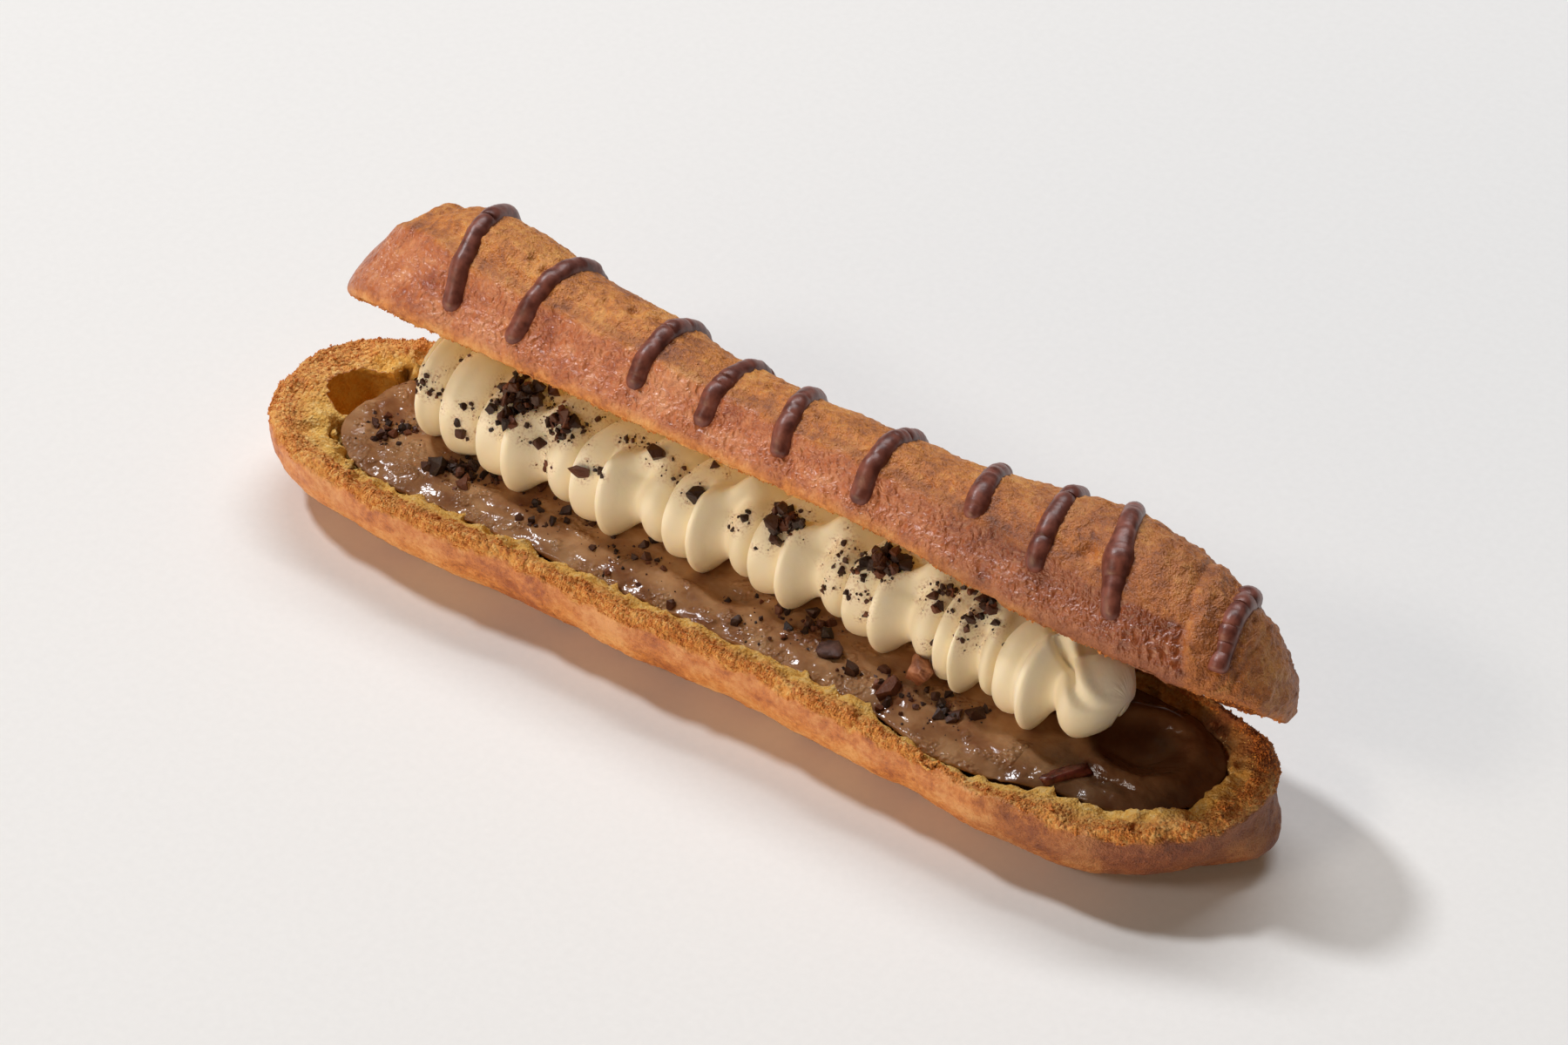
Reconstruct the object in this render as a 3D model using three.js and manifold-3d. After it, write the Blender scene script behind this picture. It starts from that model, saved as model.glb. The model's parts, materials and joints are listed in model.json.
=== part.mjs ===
// A long choux pastry, cut open and filled: a boat-shaped base, chocolate custard in it, a coiled rope of
// piped cream with chocolate crumbs, and the lid leaning back on the cream, striped with dark chocolate.
// Millimetres, +Z up, +X along the pastry, the open side towards -Y, the origin under the foot's middle.
import * as THREE from "three";
import { ParametricGeometry } from "three/addons/geometries/ParametricGeometry.js";
import { mergeVertices } from "three/addons/utils/BufferGeometryUtils.js";
import Module from "manifold-3d";

const wasm = await Module();
wasm.setup();

// Driving dimensions
const BASE_LENGTH = 150;
const BASE_WIDTH = 31;
const RIM_HEIGHT = 13;
const FLOOR_HEIGHT = 3.2; // crumb left under the custard
const LID_LENGTH = 144.5;
const LID_WIDTH = 28.5;
const LID_WAIST = 12.8; // height of the dome at its waist
const LID_LEFT_SWELL = 5.5; // and how much higher its two swollen ends are
const LID_RIGHT_SWELL = 4.9;
const LID_SHOULDER = 1.5; // a lower swelling between the left end and the waist
const LID_LEAN = 0.022; // how fast the dome falls towards the back, for each millimetre
const LID_TIP_LEAN = 0.29; // and how far its tips lean inwards, for each millimetre of height
const LID_DISH = 4.4; // depth of the hollow in the lid's crumb side
const LID_OPENING = 46.5; // degrees that the lid is rolled back
const LID_SHIFT = 3.4; // the lid lies this far to the right of the base
const HINGE_Y = 15.7; // where the lid's back edge meets the base's back rim
const HINGE_Z = 13.65;
const CUSTARD_LEVEL = 10.6;
const CREAM_RADIUS = 8.8;
const CREAM_START = -53.5;
const CREAM_LENGTH = 109;
const CREAM_END_ROUNDING = 11;
const COIL_START = -57; // where the first turn, partly cut off, begins
const TURN_WIDTHS = [5, 4.4, 6.8, 15.8, 14.4, 12.8, 14.4, 14, 8.9, 16]; // left to right
const ONE_FIN_TURNS = 3; // the first turns are narrow, with one fin each
const CREAM_Y = 3.4;
const CREAM_Z = 18.2;
const STRIPE_WIDTH = 2.7;
const GAP = 0.35; // left between pieces that touch

const AROUND = 64; // steps round a pastry's plan
const CUTTER_AROUND = 32; // and round the copies that only cut the cream
const CREAM_SIDES = 20;
const STRIPE_STEPS = 10;
const STRIPE_SIDES = 6;

const { smoothstep, degToRad, lerp } = THREE.MathUtils;
const bump = (x, centre, spread) => Math.exp(-(((x - centre) / spread) ** 2));

// The slow unevenness of baked dough, between -1 and 1.
function uneven(x, y, seed) {
  return (
    0.45 * Math.sin(0.21 * x + 0.13 * y + seed) +
    0.35 * Math.sin(0.47 * x - 0.31 * y + 2.3 * seed) +
    0.2 * Math.sin(0.83 * x + 0.57 * y + 4.1 * seed)
  );
}

// The plan of a piped pastry is a spine with rounded ends. s runs once round it, from 0 to 1, and starts at
// the left of the front side. The result is a point of the spine, and the reach from it to the outline.
function planAt(s, { length, width, end, fullness = 2.25, lean = 0, leftLean = 0 }) {
  const stretch = Math.min(Math.floor(s * 4), 3);
  const t = s * 4 - stretch;
  const spine = length / 2 - end;
  if (stretch === 0) return { x: lerp(-spine, spine, t), dx: 0, dy: -width / 2 };
  if (stretch === 2) return { x: lerp(spine, -spine, t), dx: 0, dy: width / 2 };
  const side = stretch === 1 ? 1 : -1;
  const turn = degToRad(180 * t - 90);
  const along = Math.abs(Math.cos(turn)) ** (2 / fullness);
  const across = Math.sign(turn) * Math.abs(Math.sin(turn)) ** (2 / fullness);
  const dy = (side * across * width) / 2;
  const skew = (side > 0 ? lean : leftLean) * dy * along;
  return { x: side * spine, dx: side * along * end + skew, dy };
}

// A closed surface of rings round a plan. The section lists, from the middle of the underside outwards and
// over to the middle of the top, the share of the reach and the height of each ring.
function loaf(plan, section, shape, around = AROUND) {
  const profile = new THREE.SplineCurve(section.map(([share, z]) => new THREE.Vector2(share, z)));
  const at = (s, v, target) => {
    const { x, dx, dy } = planAt(s, plan);
    const ring = profile.getPoint(v);
    target.set(x + dx * ring.x, dy * ring.x, ring.y);
    shape(target, ring.x, v);
  };
  return new ParametricGeometry(at, around, section.length - 1);
}

function sharedPoints(geometry) {
  return mergeVertices(geometry.clone().deleteAttribute("normal").deleteAttribute("uv"), 1e-4);
}

// Merges a surface's shared points, drops the triangles that collapsed, and makes it a solid.
function solid(geometry) {
  const merged = sharedPoints(geometry);
  const corners = merged.index
    ? Array.from(merged.index.array)
    : Array.from({ length: merged.attributes.position.count }, (_, i) => i);
  const kept = [];
  for (let i = 0; i < corners.length; i += 3) {
    const [a, b, c] = corners.slice(i, i + 3);
    if (a !== b && b !== c && c !== a) kept.push(a, b, c);
  }
  const mesh = new wasm.Mesh({
    numProp: 3,
    vertProperties: new Float32Array(merged.attributes.position.array),
    triVerts: new Uint32Array(kept),
  });
  return new wasm.Manifold(mesh);
}

function geometryOf(manifold) {
  const mesh = manifold.getMesh();
  const geometry = new THREE.BufferGeometry();
  geometry.setAttribute("position", new THREE.BufferAttribute(mesh.vertProperties, 3));
  geometry.setIndex(new THREE.BufferAttribute(mesh.triVerts, 1));
  geometry.computeVertexNormals();
  return geometry;
}

// The largest of the bodies that a join leaves, without loose scraps or sealed hollows.
function oneBody(manifold) {
  return manifold.decompose().reduce((best, body) => (body.volume() > best.volume() ? body : best));
}

// A function that gives the first point of a solid's surface that a ray meets.
function surfaceFinder(manifold) {
  const mesh = new THREE.Mesh(geometryOf(manifold));
  return (origin, direction) => new THREE.Raycaster(origin, direction).intersectObject(mesh)[0].point;
}

function node(name, manifold, color, roughness) {
  const material = new THREE.MeshStandardMaterial({ color, roughness, metalness: 0 });
  const mesh = new THREE.Mesh(geometryOf(manifold), material);
  mesh.name = name;
  return mesh;
}

// The same sequence of numbers between 0 and 1 on every run.
function seeded(seed) {
  let state = seed;
  return () => {
    state = (state * 1664525 + 1013904223) % 4294967296;
    return state / 4294967296;
  };
}

// Base: a boat with a flat foot, a thin crust and a broad torn cut face that slopes down to the custard.
const basePlan = { length: BASE_LENGTH, width: BASE_WIDTH, end: 20.5, lean: 0.28, leftLean: 0.05 };
const baseSection = [
  [0, 0],
  [0.44, 0],
  [0.7, 1.5],
  [0.89, 4.4],
  [0.98, 7.6],
  [1, 10.2],
  [0.975, 12.3],
  [0.92, RIM_HEIGHT],
  [0.8, 12.4],
  [0.69, 11.2],
  [0.62, 8.8],
  [0.5, 4.8],
  [0.28, FLOOR_HEIGHT],
  [0, FLOOR_HEIGHT],
];
const CREST = 7 / (baseSection.length - 1); // the ring of the rim's crest, inside which the cut face starts

const rimHeight = (x) =>
  RIM_HEIGHT - 1.3 * smoothstep(x, 15, 50) + 1.1 * smoothstep(x, 58, 72) + 0.25 * uneven(x, 0, 1.7);
// The outline swells and narrows along the pastry as the piped dough did.
const baseSwell = (x) => 0.055 * bump(x, -46, 9) - 0.045 * bump(x, 8, 12) + 0.06 * bump(x, 44, 9);
// The hollow reaches close to the crust at the right of the front and at both ends of the back, and draws
// in at the front's right end.
const hollowSwell = (x, y) =>
  y < 0
    ? 0.17 * bump(x, 36, 8) - 0.2 * smoothstep(x, 44, 56)
    : 0.2 * smoothstep(x, 38, 54) + 0.25 * bump(x, -58, 6);
// At the left the hollow stops well short of the base's end.
const NOSE_FROM = -50;
const NOSE_SHARE = 0.75;
const drawnIn = (x, amount) => x - Math.min(0, x - NOSE_FROM) * (1 - NOSE_SHARE) * amount;

function shapeBase(point, share, v) {
  const { x, y } = point;
  point.y *= 1 + baseSwell(x);
  if (v <= CREST) {
    point.z *= rimHeight(x) / RIM_HEIGHT;
    if (share > 0.5) point.y += Math.sign(y) * 0.35 * uneven(x, 9 * v, 3.1);
    const rightEnd = smoothstep(x, 62, 69) * smoothstep(y, -6, 3);
    if (share > 0.5) point.x += rightEnd * (4.6 * bump(point.z, 2.6, 3) - 0.7 * bump(point.z, 9.2, 1.5));
    return;
  }
  const inHollow = 1 - smoothstep(share, 0.7, 0.92);
  point.x = drawnIn(x, inHollow);
  point.y *= 1 + hollowSwell(x, y) * inHollow;
  point.z += (rimHeight(x) - RIM_HEIGHT) * smoothstep(point.z, 6, 11);
  point.z += 0.35 * uneven(2.2 * x, 2 * y, 5.3) * smoothstep(share, 0.55, 0.7);
}
// A large bubble in the dough, cut open behind the custard's nose.
const bubble = new THREE.SphereGeometry(1, 12, 8).scale(6, 4.4, 5).rotateZ(degToRad(48));
const base = oneBody(
  solid(loaf(basePlan, baseSection, shapeBase)).subtract(solid(bubble.translate(-65.1, 1.8, 9.2))),
);

// Custard: it fills the base's hollow up to the cut face, from its rounded nose at the left to the swirl
// that the nozzle left at the right.
const clearShare = (3 * GAP) / BASE_WIDTH;
const custardSection = [
  [0, FLOOR_HEIGHT + GAP],
  [0.24, FLOOR_HEIGHT + GAP],
  [0.46, 5.4],
  [0.62 - 1.6 * clearShare, 8.9],
  [0.66 - clearShare, 10.6],
  [0.6, CUSTARD_LEVEL + 0.3],
  [0.48, CUSTARD_LEVEL + 0.6],
  [0.34, CUSTARD_LEVEL + 0.9],
  [0.17, CUSTARD_LEVEL + 1],
  [0, CUSTARD_LEVEL + 1],
];
const CUSTARD_EDGE = 4 / (custardSection.length - 1);
const SWIRL = { x: 58, y: 2.2, radius: 5.6 };

function shapeCustard(point, share, v) {
  const { x, y } = point;
  point.y *= (1 + baseSwell(x)) * (1 + hollowSwell(x, y) * smoothstep(share, 0.1, 0.4));
  point.x = drawnIn(x, 1);
  const top = smoothstep(v, CUSTARD_EDGE - 0.12, CUSTARD_EDGE);
  const fromSwirl = Math.hypot((x - SWIRL.x) * 0.85, y - SWIRL.y);
  const swirl = 0.9 * bump(fromSwirl, SWIRL.radius, 1.8) - 1.5 * bump(fromSwirl, 0, 2.6);
  point.z += top * (0.3 * uneven(1.6 * x, 2.5 * y, 0.6) - 0.8 * smoothstep(x, 24, 50) + swirl);
}
const bareCustard = solid(loaf(basePlan, custardSection, shapeCustard));

// Lid: modelled crumb side down, then rolled back about its long back edge.
const lidPlan = { length: LID_LENGTH, width: LID_WIDTH, end: 20 };
const lidSection = [
  [0, LID_DISH],
  [0.28, LID_DISH - 0.2],
  [0.55, LID_DISH - 1.2],
  [0.74, 1.4],
  [0.85, 0.2],
  [0.94, 0],
  [0.99, 1.5],
  [1, 4],
  [0.97, 7.2],
  [0.86, 10.2],
  [0.62, 12.1],
  [0.32, 12.7],
  [0, LID_WAIST],
];
const LID_EDGE = 5; // the ring of the cut edge, from which the dome rises

const lidHeight = (x) =>
  LID_WAIST +
  LID_LEFT_SWELL * bump(x, -51.5, 18) +
  LID_SHOULDER * bump(x, -25, 9) +
  LID_RIGHT_SWELL * bump(x, 45.5, 15.5);
// The lid sags between the cream and its right tip.
const lidSag = (x) => -2 * smoothstep(x, 12, 46) + 1.2 * smoothstep(x, 60, 70);

function shapeLid(point, share, v) {
  const { x, y } = point;
  const ring = v * (lidSection.length - 1);
  const dome = smoothstep(ring, LID_EDGE, LID_EDGE + 4);
  point.z *= lerp(1, lidHeight(x) / LID_WAIST, dome);
  point.z *= 1 - LID_LEAN * dome * Math.max(0, y + LID_WIDTH / 6);
  point.x -= Math.sign(x) * LID_TIP_LEAN * point.z * smoothstep(Math.abs(x), 60, 71);
  point.z += lidSag(x) - 0.9 * dome * bump(x, -64.4, 1.4);
  if (dome > 0) point.y += 0.3 * uneven(x, 3 * v, 2.4) * smoothstep(Math.abs(y), 2, 8);
}
const bareLid = solid(loaf(lidPlan, lidSection, shapeLid));

// Stripes of dark chocolate over the lid. Each has its place along the lid at its front end, how far it
// drifts on its way over the top, and the angles round the lid, in degrees, at which it starts and ends.
const stripes = [
  { x: -49.8, drift: -4, start: 1, finish: 130 },
  { x: -39.7, drift: 2.2, start: -1, finish: 122 },
  { x: -20.9, drift: 0.2, start: 3, finish: 136 },
  { x: -10.1, drift: 0.3, start: 0, finish: 127 },
  { x: 1.8, drift: -4, start: 1, finish: 133 },
  { x: 14.3, drift: -0.5, start: -4, finish: 124 },
  { x: 29.2, drift: -4.6, start: 13, finish: 135 },
  { x: 39.4, drift: -3, start: 2, finish: 128 },
  { x: 51, drift: -7.6, start: -5, finish: 123, drop: 24 },
  { x: 65.1, drift: -3, start: -9, finish: 119 },
];
const STRIPE_AXIS = 3; // height of the line that the stripes' angles are measured round

const onLid = surfaceFinder(bareLid);

function outOfLid(degrees) {
  const angle = degToRad(degrees);
  return new THREE.Vector3(0, -Math.cos(angle), Math.sin(angle));
}

function stripe({ x, drift, start, finish, drop = 0 }) {
  const path = [];
  for (let i = 0; i <= STRIPE_STEPS; i++) {
    const degrees = lerp(start, finish, i / STRIPE_STEPS);
    const place = new THREE.Vector3(x + (drift * Math.min(degrees - start, 90)) / 90, 0, STRIPE_AXIS);
    const outwards = outOfLid(degrees);
    path.push(onLid(place.addScaledVector(outwards, LID_LENGTH), outwards.negate()));
  }
  const curve = new THREE.CatmullRomCurve3(path);
  const at = (u, v, target) => {
    const degrees = lerp(start, finish, v);
    const swell = 1 + (drop ? 0.4 * bump(degrees, drop, 9) : 0);
    const radius = (STRIPE_WIDTH / 2) * swell * Math.sqrt(1 - (2 * v - 1) ** 10);
    target.copy(curve.getPoint(v)).addScaledVector(outOfLid(degrees), radius * Math.sin(2 * Math.PI * u));
    target.x -= radius * Math.cos(2 * Math.PI * u);
  };
  return solid(new ParametricGeometry(at, STRIPE_SIDES, STRIPE_STEPS));
}
// Each stripe's axis lies in the crust's surface, so that half of the chocolate stands proud of it.
const lidSolid = oneBody(stripes.map(stripe).reduce((sum, piece) => sum.add(piece), bareLid));

const lidRoll = degToRad(LID_OPENING);
const edgeReach = (LID_WIDTH / 2) * lidSection[LID_EDGE][0];
const lidPlace = new THREE.Vector3(
  LID_SHIFT,
  HINGE_Y - edgeReach * Math.cos(lidRoll),
  HINGE_Z + edgeReach * Math.sin(lidRoll),
);
// The lid's placement, moved a given distance from its crumb side into the cream.
function lidMatrix(nearer) {
  const towardsCream = new THREE.Vector3(0, -Math.sin(lidRoll), -Math.cos(lidRoll));
  const place = lidPlace.clone().addScaledVector(towardsCream, nearer);
  return new THREE.Matrix4().makeRotationX(-lidRoll).setPosition(place).toArray();
}

// Cream: a star-tipped rope wound in a coil. The outline of a turn, as shares of its width and of the rope's
// radius, has two sharp fins and a round lobe on the open side. Over the top the second fin sweeps to the
// right and the lobe fades. The first turns have one broad fin.
const [openSide, overTop, oneFin] = [
  [[0, 0.66], [0.05, 0.9], [0.12, 0.93], [0.31, 0.8], [0.37, 1], [0.63, 0.73], [0.84, 0.86], [1, 0.66]],
  [[0, 0.66], [0.05, 0.9], [0.12, 0.93], [0.48, 0.8], [0.62, 1], [0.78, 0.84], [0.9, 0.72], [1, 0.66]],
  [[0, 0.66], [0.08, 0.9], [0.16, 0.95], [0.3, 0.95], [0.5, 0.9], [0.7, 0.85], [0.87, 0.78], [1, 0.66]],
].map((outline) => new THREE.SplineCurve(outline.map((point) => new THREE.Vector2(...point))));
const LINES_PER_TURN = 7;
const turnStarts = TURN_WIDTHS.reduce((starts, width) => [...starts, starts.at(-1) + width], [COIL_START]);
const creamEnd = CREAM_START + CREAM_LENGTH;

// The place along the pastry that the coil has reached after so many turns.
function reached(turns) {
  const whole = THREE.MathUtils.clamp(Math.floor(turns), 0, TURN_WIDTHS.length - 1);
  return turnStarts[whole] + (turns - whole) * TURN_WIDTHS[whole];
}

// The turns stand upright on the open side, from the custard to the top, and cross over at the back.
function creamAt(u, v, target) {
  const degrees = 360 * (1 - u);
  const angle = degToRad(degrees);
  const lines = v * (TURN_WIDTHS.length + 1) * LINES_PER_TURN;
  const turn = Math.floor(lines / LINES_PER_TURN + 1e-6);
  const share = Math.max(0, lines / LINES_PER_TURN - turn);
  const before = turn - 1 + smoothstep(degrees, 60, 340);
  const top = smoothstep(degrees, 45, 85) - smoothstep(degrees, 200, 300);
  const ring = openSide.getPoint(share).lerp(overTop.getPoint(share), top);
  ring.lerp(oneFin.getPoint(share), 1 - smoothstep(before, ONE_FIN_TURNS - 0.8, ONE_FIN_TURNS - 0.2));
  const free = reached(before + ring.x);
  const x = THREE.MathUtils.clamp(free, CREAM_START, creamEnd);
  const left = Math.sqrt(1 - (1 - smoothstep(x, CREAM_START - 3, CREAM_START + 4)) ** 2);
  const right = Math.sqrt(1 - Math.max(0, 1 - (creamEnd - x) / CREAM_END_ROUNDING) ** 2);
  const radius = x === free ? CREAM_RADIUS * ring.y * left * right : 0;
  const wander = 0.8 * Math.sin(0.075 * x + 0.6) + 1.4 * bump(x, CREAM_START, 12);
  target.set(x, CREAM_Y + wander - radius * Math.cos(angle), CREAM_Z + radius * Math.sin(angle));
}
const coil = new ParametricGeometry(creamAt, CREAM_SIDES, (TURN_WIDTHS.length + 1) * LINES_PER_TURN);
const cutter = (plan, section, shape) => solid(loaf(plan, section, shape, CUTTER_AROUND));
const nearLid = cutter(lidPlan, lidSection, shapeLid).transform(lidMatrix(GAP));
const nearBase = cutter(basePlan, baseSection, shapeBase).translate([0, -GAP, GAP]);
const bareCream = solid(coil)
  .subtract(bareCustard.translate([0, 0, GAP]))
  .subtract(nearLid)
  .subtract(nearBase);

// Crumbs of dark chocolate. A crumb is a jagged lump, a little flat, turned at random and partly sunk.
const random = seeded(20);
const spread = (amount) => (random() + random() - 1) * amount;

const CRUMB_SHAPE = new THREE.Vector3(1.15, 0.95, 0.7);

function crumb(place, size) {
  const lump = sharedPoints(new THREE.IcosahedronGeometry(size / 2));
  const position = lump.attributes.position;
  const corner = new THREE.Vector3();
  for (let i = 0; i < position.count; i++) {
    corner.fromBufferAttribute(position, i).multiply(CRUMB_SHAPE);
    position.setXYZ(i, ...corner.multiplyScalar(1 + spread(0.35)).toArray());
  }
  lump.rotateZ(2 * Math.PI * random()).rotateX(spread(1.2)).rotateY(spread(1.2));
  return solid(lump.translate(...place.toArray()));
}

// Copies of a solid, each moved by the gap in one direction, that show what lies too near to it.
function closeTo(manifold) {
  const axes = [[GAP, 0, 0], [0, GAP, 0], [0, 0, GAP]];
  return axes.flatMap((by) => [manifold.translate(by), manifold.translate(by.map((step) => -step))]);
}

// Fuses crumbs to what they lie on. Each group is scattered round its own place, and a crumb that would
// come too near to a neighbour is left out.
function strewn(bare, groups, placeOf, neighbour) {
  const pieces = [];
  const around = closeTo(neighbour);
  for (const { count, size, ...group } of groups) {
    for (let i = 0; i < count; i++) {
      const piece = crumb(placeOf(group), size * (1 + spread(0.3)));
      const touches = around.some((moved) => moved.intersect(piece).volume() > 0);
      if (!touches) pieces.push(piece);
    }
  }
  return oneBody(pieces.reduce((sum, piece) => sum.add(piece), bare));
}

const custardCrumbs = [
  { x: -58, y: -2, reach: 3.5, count: 5, size: 2.3 },
  { x: -47.5, y: -4.6, reach: 2.5, count: 2, size: 2.4 },
  { x: -40.5, y: -5, reach: 3, count: 2, size: 2 },
  { x: -34, y: -3.4, reach: 4, count: 3, size: 2 },
  { x: -14, y: -4, reach: 3, count: 3, size: 1.9 },
  { x: -6.4, y: -8, reach: 1, count: 1, size: 2 },
  { x: 2.4, y: -7, reach: 1, count: 1, size: 2 },
  { x: 11, y: -3.8, reach: 3, count: 3, size: 2.5 },
  { x: 15.6, y: -4.9, reach: 0, count: 1, size: 3.8 },
  { x: 20.1, y: -6.2, reach: 0, count: 1, size: 3.2 },
  { x: 24.5, y: -5, reach: 2, count: 2, size: 2.4 },
  { x: 28.6, y: -4.6, reach: 0, count: 1, size: 3.9 },
  { x: 26, y: -7.9, reach: 4, count: 4, size: 2.4 },
  { x: 33.5, y: -7.5, reach: 3, count: 3, size: 2.4 },
  { x: 37, y: -4.4, reach: 2, count: 2, size: 2.6 },
  { x: 52, y: -6, reach: 1, count: 2, size: 2.8 },
];
const onCustard = surfaceFinder(bareCustard);
const down = new THREE.Vector3(0, 0, -1);
const custardPlace = ({ x, y, reach }) =>
  onCustard(new THREE.Vector3(x + spread(reach), y + spread(reach / 2), BASE_LENGTH), down);
const custard = strewn(bareCustard, custardCrumbs, custardPlace, bareCream);

// On the cream a group's place is an angle round the coil, 0 facing the open side and 90 at the top.
const creamCrumbs = [
  { x: -51, degrees: 42, reach: 3, count: 2, size: 1.6 },
  { x: -37.5, degrees: 58, reach: 7, count: 10, size: 2.3 },
  { x: -28.5, degrees: 56, reach: 4, count: 4, size: 2 },
  { x: -24, degrees: 21, reach: 0, count: 1, size: 2.6 },
  { x: -20.9, degrees: 42, reach: 2, count: 1, size: 1.6 },
  { x: -14.8, degrees: 68, reach: 0, count: 1, size: 3 },
  { x: -7.4, degrees: 50, reach: 0, count: 1, size: 3 },
  { x: 1, degrees: 50, reach: 1, count: 1, size: 1.6 },
  { x: 5.3, degrees: 60, reach: 4, count: 5, size: 2.2 },
  { x: 15.5, degrees: 56, reach: 6, count: 4, size: 1.7 },
  { x: 21.6, degrees: 62, reach: 4, count: 5, size: 2.6 },
  { x: 29, degrees: 48, reach: 3, count: 3, size: 1.9 },
  { x: 34, degrees: 58, reach: 6, count: 6, size: 2.1 },
];
const onCream = surfaceFinder(bareCream);
function creamPlace({ x, degrees, reach }) {
  const angle = degToRad(degrees + spread(4 * reach));
  const outwards = new THREE.Vector3(0, -Math.cos(angle), Math.sin(angle));
  const axis = new THREE.Vector3(x + spread(reach), CREAM_Y, CREAM_Z);
  return onCream(axis.addScaledVector(outwards, BASE_WIDTH), outwards.negate());
}
const cream = strewn(bareCream, creamCrumbs, creamPlace, nearLid.add(custard));

const group = new THREE.Group();
group.add(node("pastry_base", base, 0xc98a45, 0.75));
group.add(node("custard", custard, 0x6f4a35, 0.35));
group.add(node("cream", cream, 0xf3e6c4, 0.5));
const lid = node("pastry_lid", lidSolid, 0xa9622c, 0.55);
lid.position.copy(lidPlace);
lid.rotation.x = -lidRoll;
group.add(lid);

export default group;
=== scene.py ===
# %% [markdown]
# # An open chocolate eclair
#
# This notebook dresses the imported model of a filled eclair: a boat of baked choux pastry, chocolate custard,
# a coiled rope of whipped cream, dark chocolate crumbs, and a striped lid that leans back on the cream.
# The imported model is a fixed frame, so the first step is to load it and to keep its parts for later.

import json
import math

import bmesh
import bpy
import numpy as np
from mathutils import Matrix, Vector
from mathutils.bvhtree import BVHTree
from mathutils.kdtree import KDTree

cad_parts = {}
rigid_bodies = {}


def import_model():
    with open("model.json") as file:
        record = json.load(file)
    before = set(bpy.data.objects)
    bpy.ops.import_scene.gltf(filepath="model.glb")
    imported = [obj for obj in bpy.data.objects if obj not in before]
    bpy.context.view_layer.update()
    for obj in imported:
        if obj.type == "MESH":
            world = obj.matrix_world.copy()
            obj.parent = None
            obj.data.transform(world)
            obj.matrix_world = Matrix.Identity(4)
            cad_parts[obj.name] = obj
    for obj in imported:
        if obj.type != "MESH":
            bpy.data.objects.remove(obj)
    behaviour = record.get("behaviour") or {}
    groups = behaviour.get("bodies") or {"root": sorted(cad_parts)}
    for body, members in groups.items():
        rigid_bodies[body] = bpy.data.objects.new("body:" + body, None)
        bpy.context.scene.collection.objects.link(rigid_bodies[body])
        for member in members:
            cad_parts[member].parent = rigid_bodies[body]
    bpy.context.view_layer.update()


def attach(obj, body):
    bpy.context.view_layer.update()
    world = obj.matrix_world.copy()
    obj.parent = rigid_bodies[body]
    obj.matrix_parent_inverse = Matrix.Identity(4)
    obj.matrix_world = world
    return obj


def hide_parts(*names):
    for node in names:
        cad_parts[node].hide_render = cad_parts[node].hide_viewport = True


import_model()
MM = 0.001  # shapes are worked out in millimetres, and meshes are in metres

# %% [markdown]
# ## Three small tools for materials
#
# Colours are picked as sRGB hex values, as a paint chart gives them, but shaders want linear light, so one
# function turns the one into the other. A second one adds a node and fills in its settings and sockets: a
# value is set on the socket, and another node's output is linked to it. A colour ramp also gets its stops.
# A third one sets up a material, which may be there already because a piece needed its name, and also gives
# the place on the piece, which the textures read.


# %% Colours and nodes
def linear(hex_colour):
    shares = [int(hex_colour[i : i + 2], 16) / 255 for i in (1, 3, 5)]
    return [s / 12.92 if s <= 0.04045 else ((s + 0.055) / 1.055) ** 2.4 for s in shares] + [1]


def add(tree, kind, inputs={}, stops=(), **settings):
    node = tree.nodes.new(kind)
    for name, value in settings.items():
        setattr(node, name, value)
    for i, (position, colour) in enumerate(stops):
        colours = node.color_ramp.elements
        element = colours[i] if i < 2 else colours.new(position)
        element.position, element.color = position, linear(colour)
    for key, value in inputs.items():
        socket = node.inputs[key]
        if isinstance(value, bpy.types.Node):
            value = value.outputs[0]
        if isinstance(value, bpy.types.NodeSocket):
            tree.links.new(value, socket)
        else:
            socket.default_value = value
    return node


def set_up(name, shader):
    material = bpy.data.materials.get(name) or bpy.data.materials.new(name)
    material.use_nodes = True
    tree = material.node_tree
    surface = tree.nodes["Principled BSDF"]
    for key, value in shader.items():
        surface.inputs[key].default_value = value
    return material, tree, surface, add(tree, "ShaderNodeTexCoord").outputs["Object"]


# %% [markdown]
# ## Camera, table and light
#
# The picture was taken from above the open side with a long lens. The camera aims at a point inside the
# cream, and a small shift puts that point where the picture has it. The table is a plain off-white sheet.
# A soft window to the left throws the long shadow to the right. A wide softbox above and behind gives the
# shadow along the front. A small lamp in front makes the egg wash shine, and a warm card lifts the front.

# %% Camera
PICTURE = (1800, 1200)
AIM_PIXEL = (880, 668)
AIM = Vector((3.06, 0, 12.88)) * MM
VIEW_TURN, VIEW_RISE = math.radians(34.2), math.radians(43)
VIEW_DISTANCE = 563 * MM

towards_camera = Vector((math.sin(VIEW_TURN), -math.cos(VIEW_TURN), math.tan(VIEW_RISE))).normalized()
camera = bpy.data.objects.new("camera", bpy.data.cameras.new("camera"))
camera.data.lens = 100
camera.location = AIM + towards_camera * VIEW_DISTANCE
camera.rotation_euler = towards_camera.to_track_quat("Z", "Y").to_euler()
camera.data.shift_x = (PICTURE[0] / 2 - AIM_PIXEL[0]) / PICTURE[0]
camera.data.shift_y = (AIM_PIXEL[1] - PICTURE[1] / 2) / PICTURE[0]
camera.data.clip_start = 0.01
bpy.context.scene.collection.objects.link(camera)
bpy.context.scene.camera = camera
print("camera at", [round(v, 3) for v in camera.location])

# %% Light and table
scene = bpy.context.scene
scene.view_settings.view_transform = "Standard"


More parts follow.
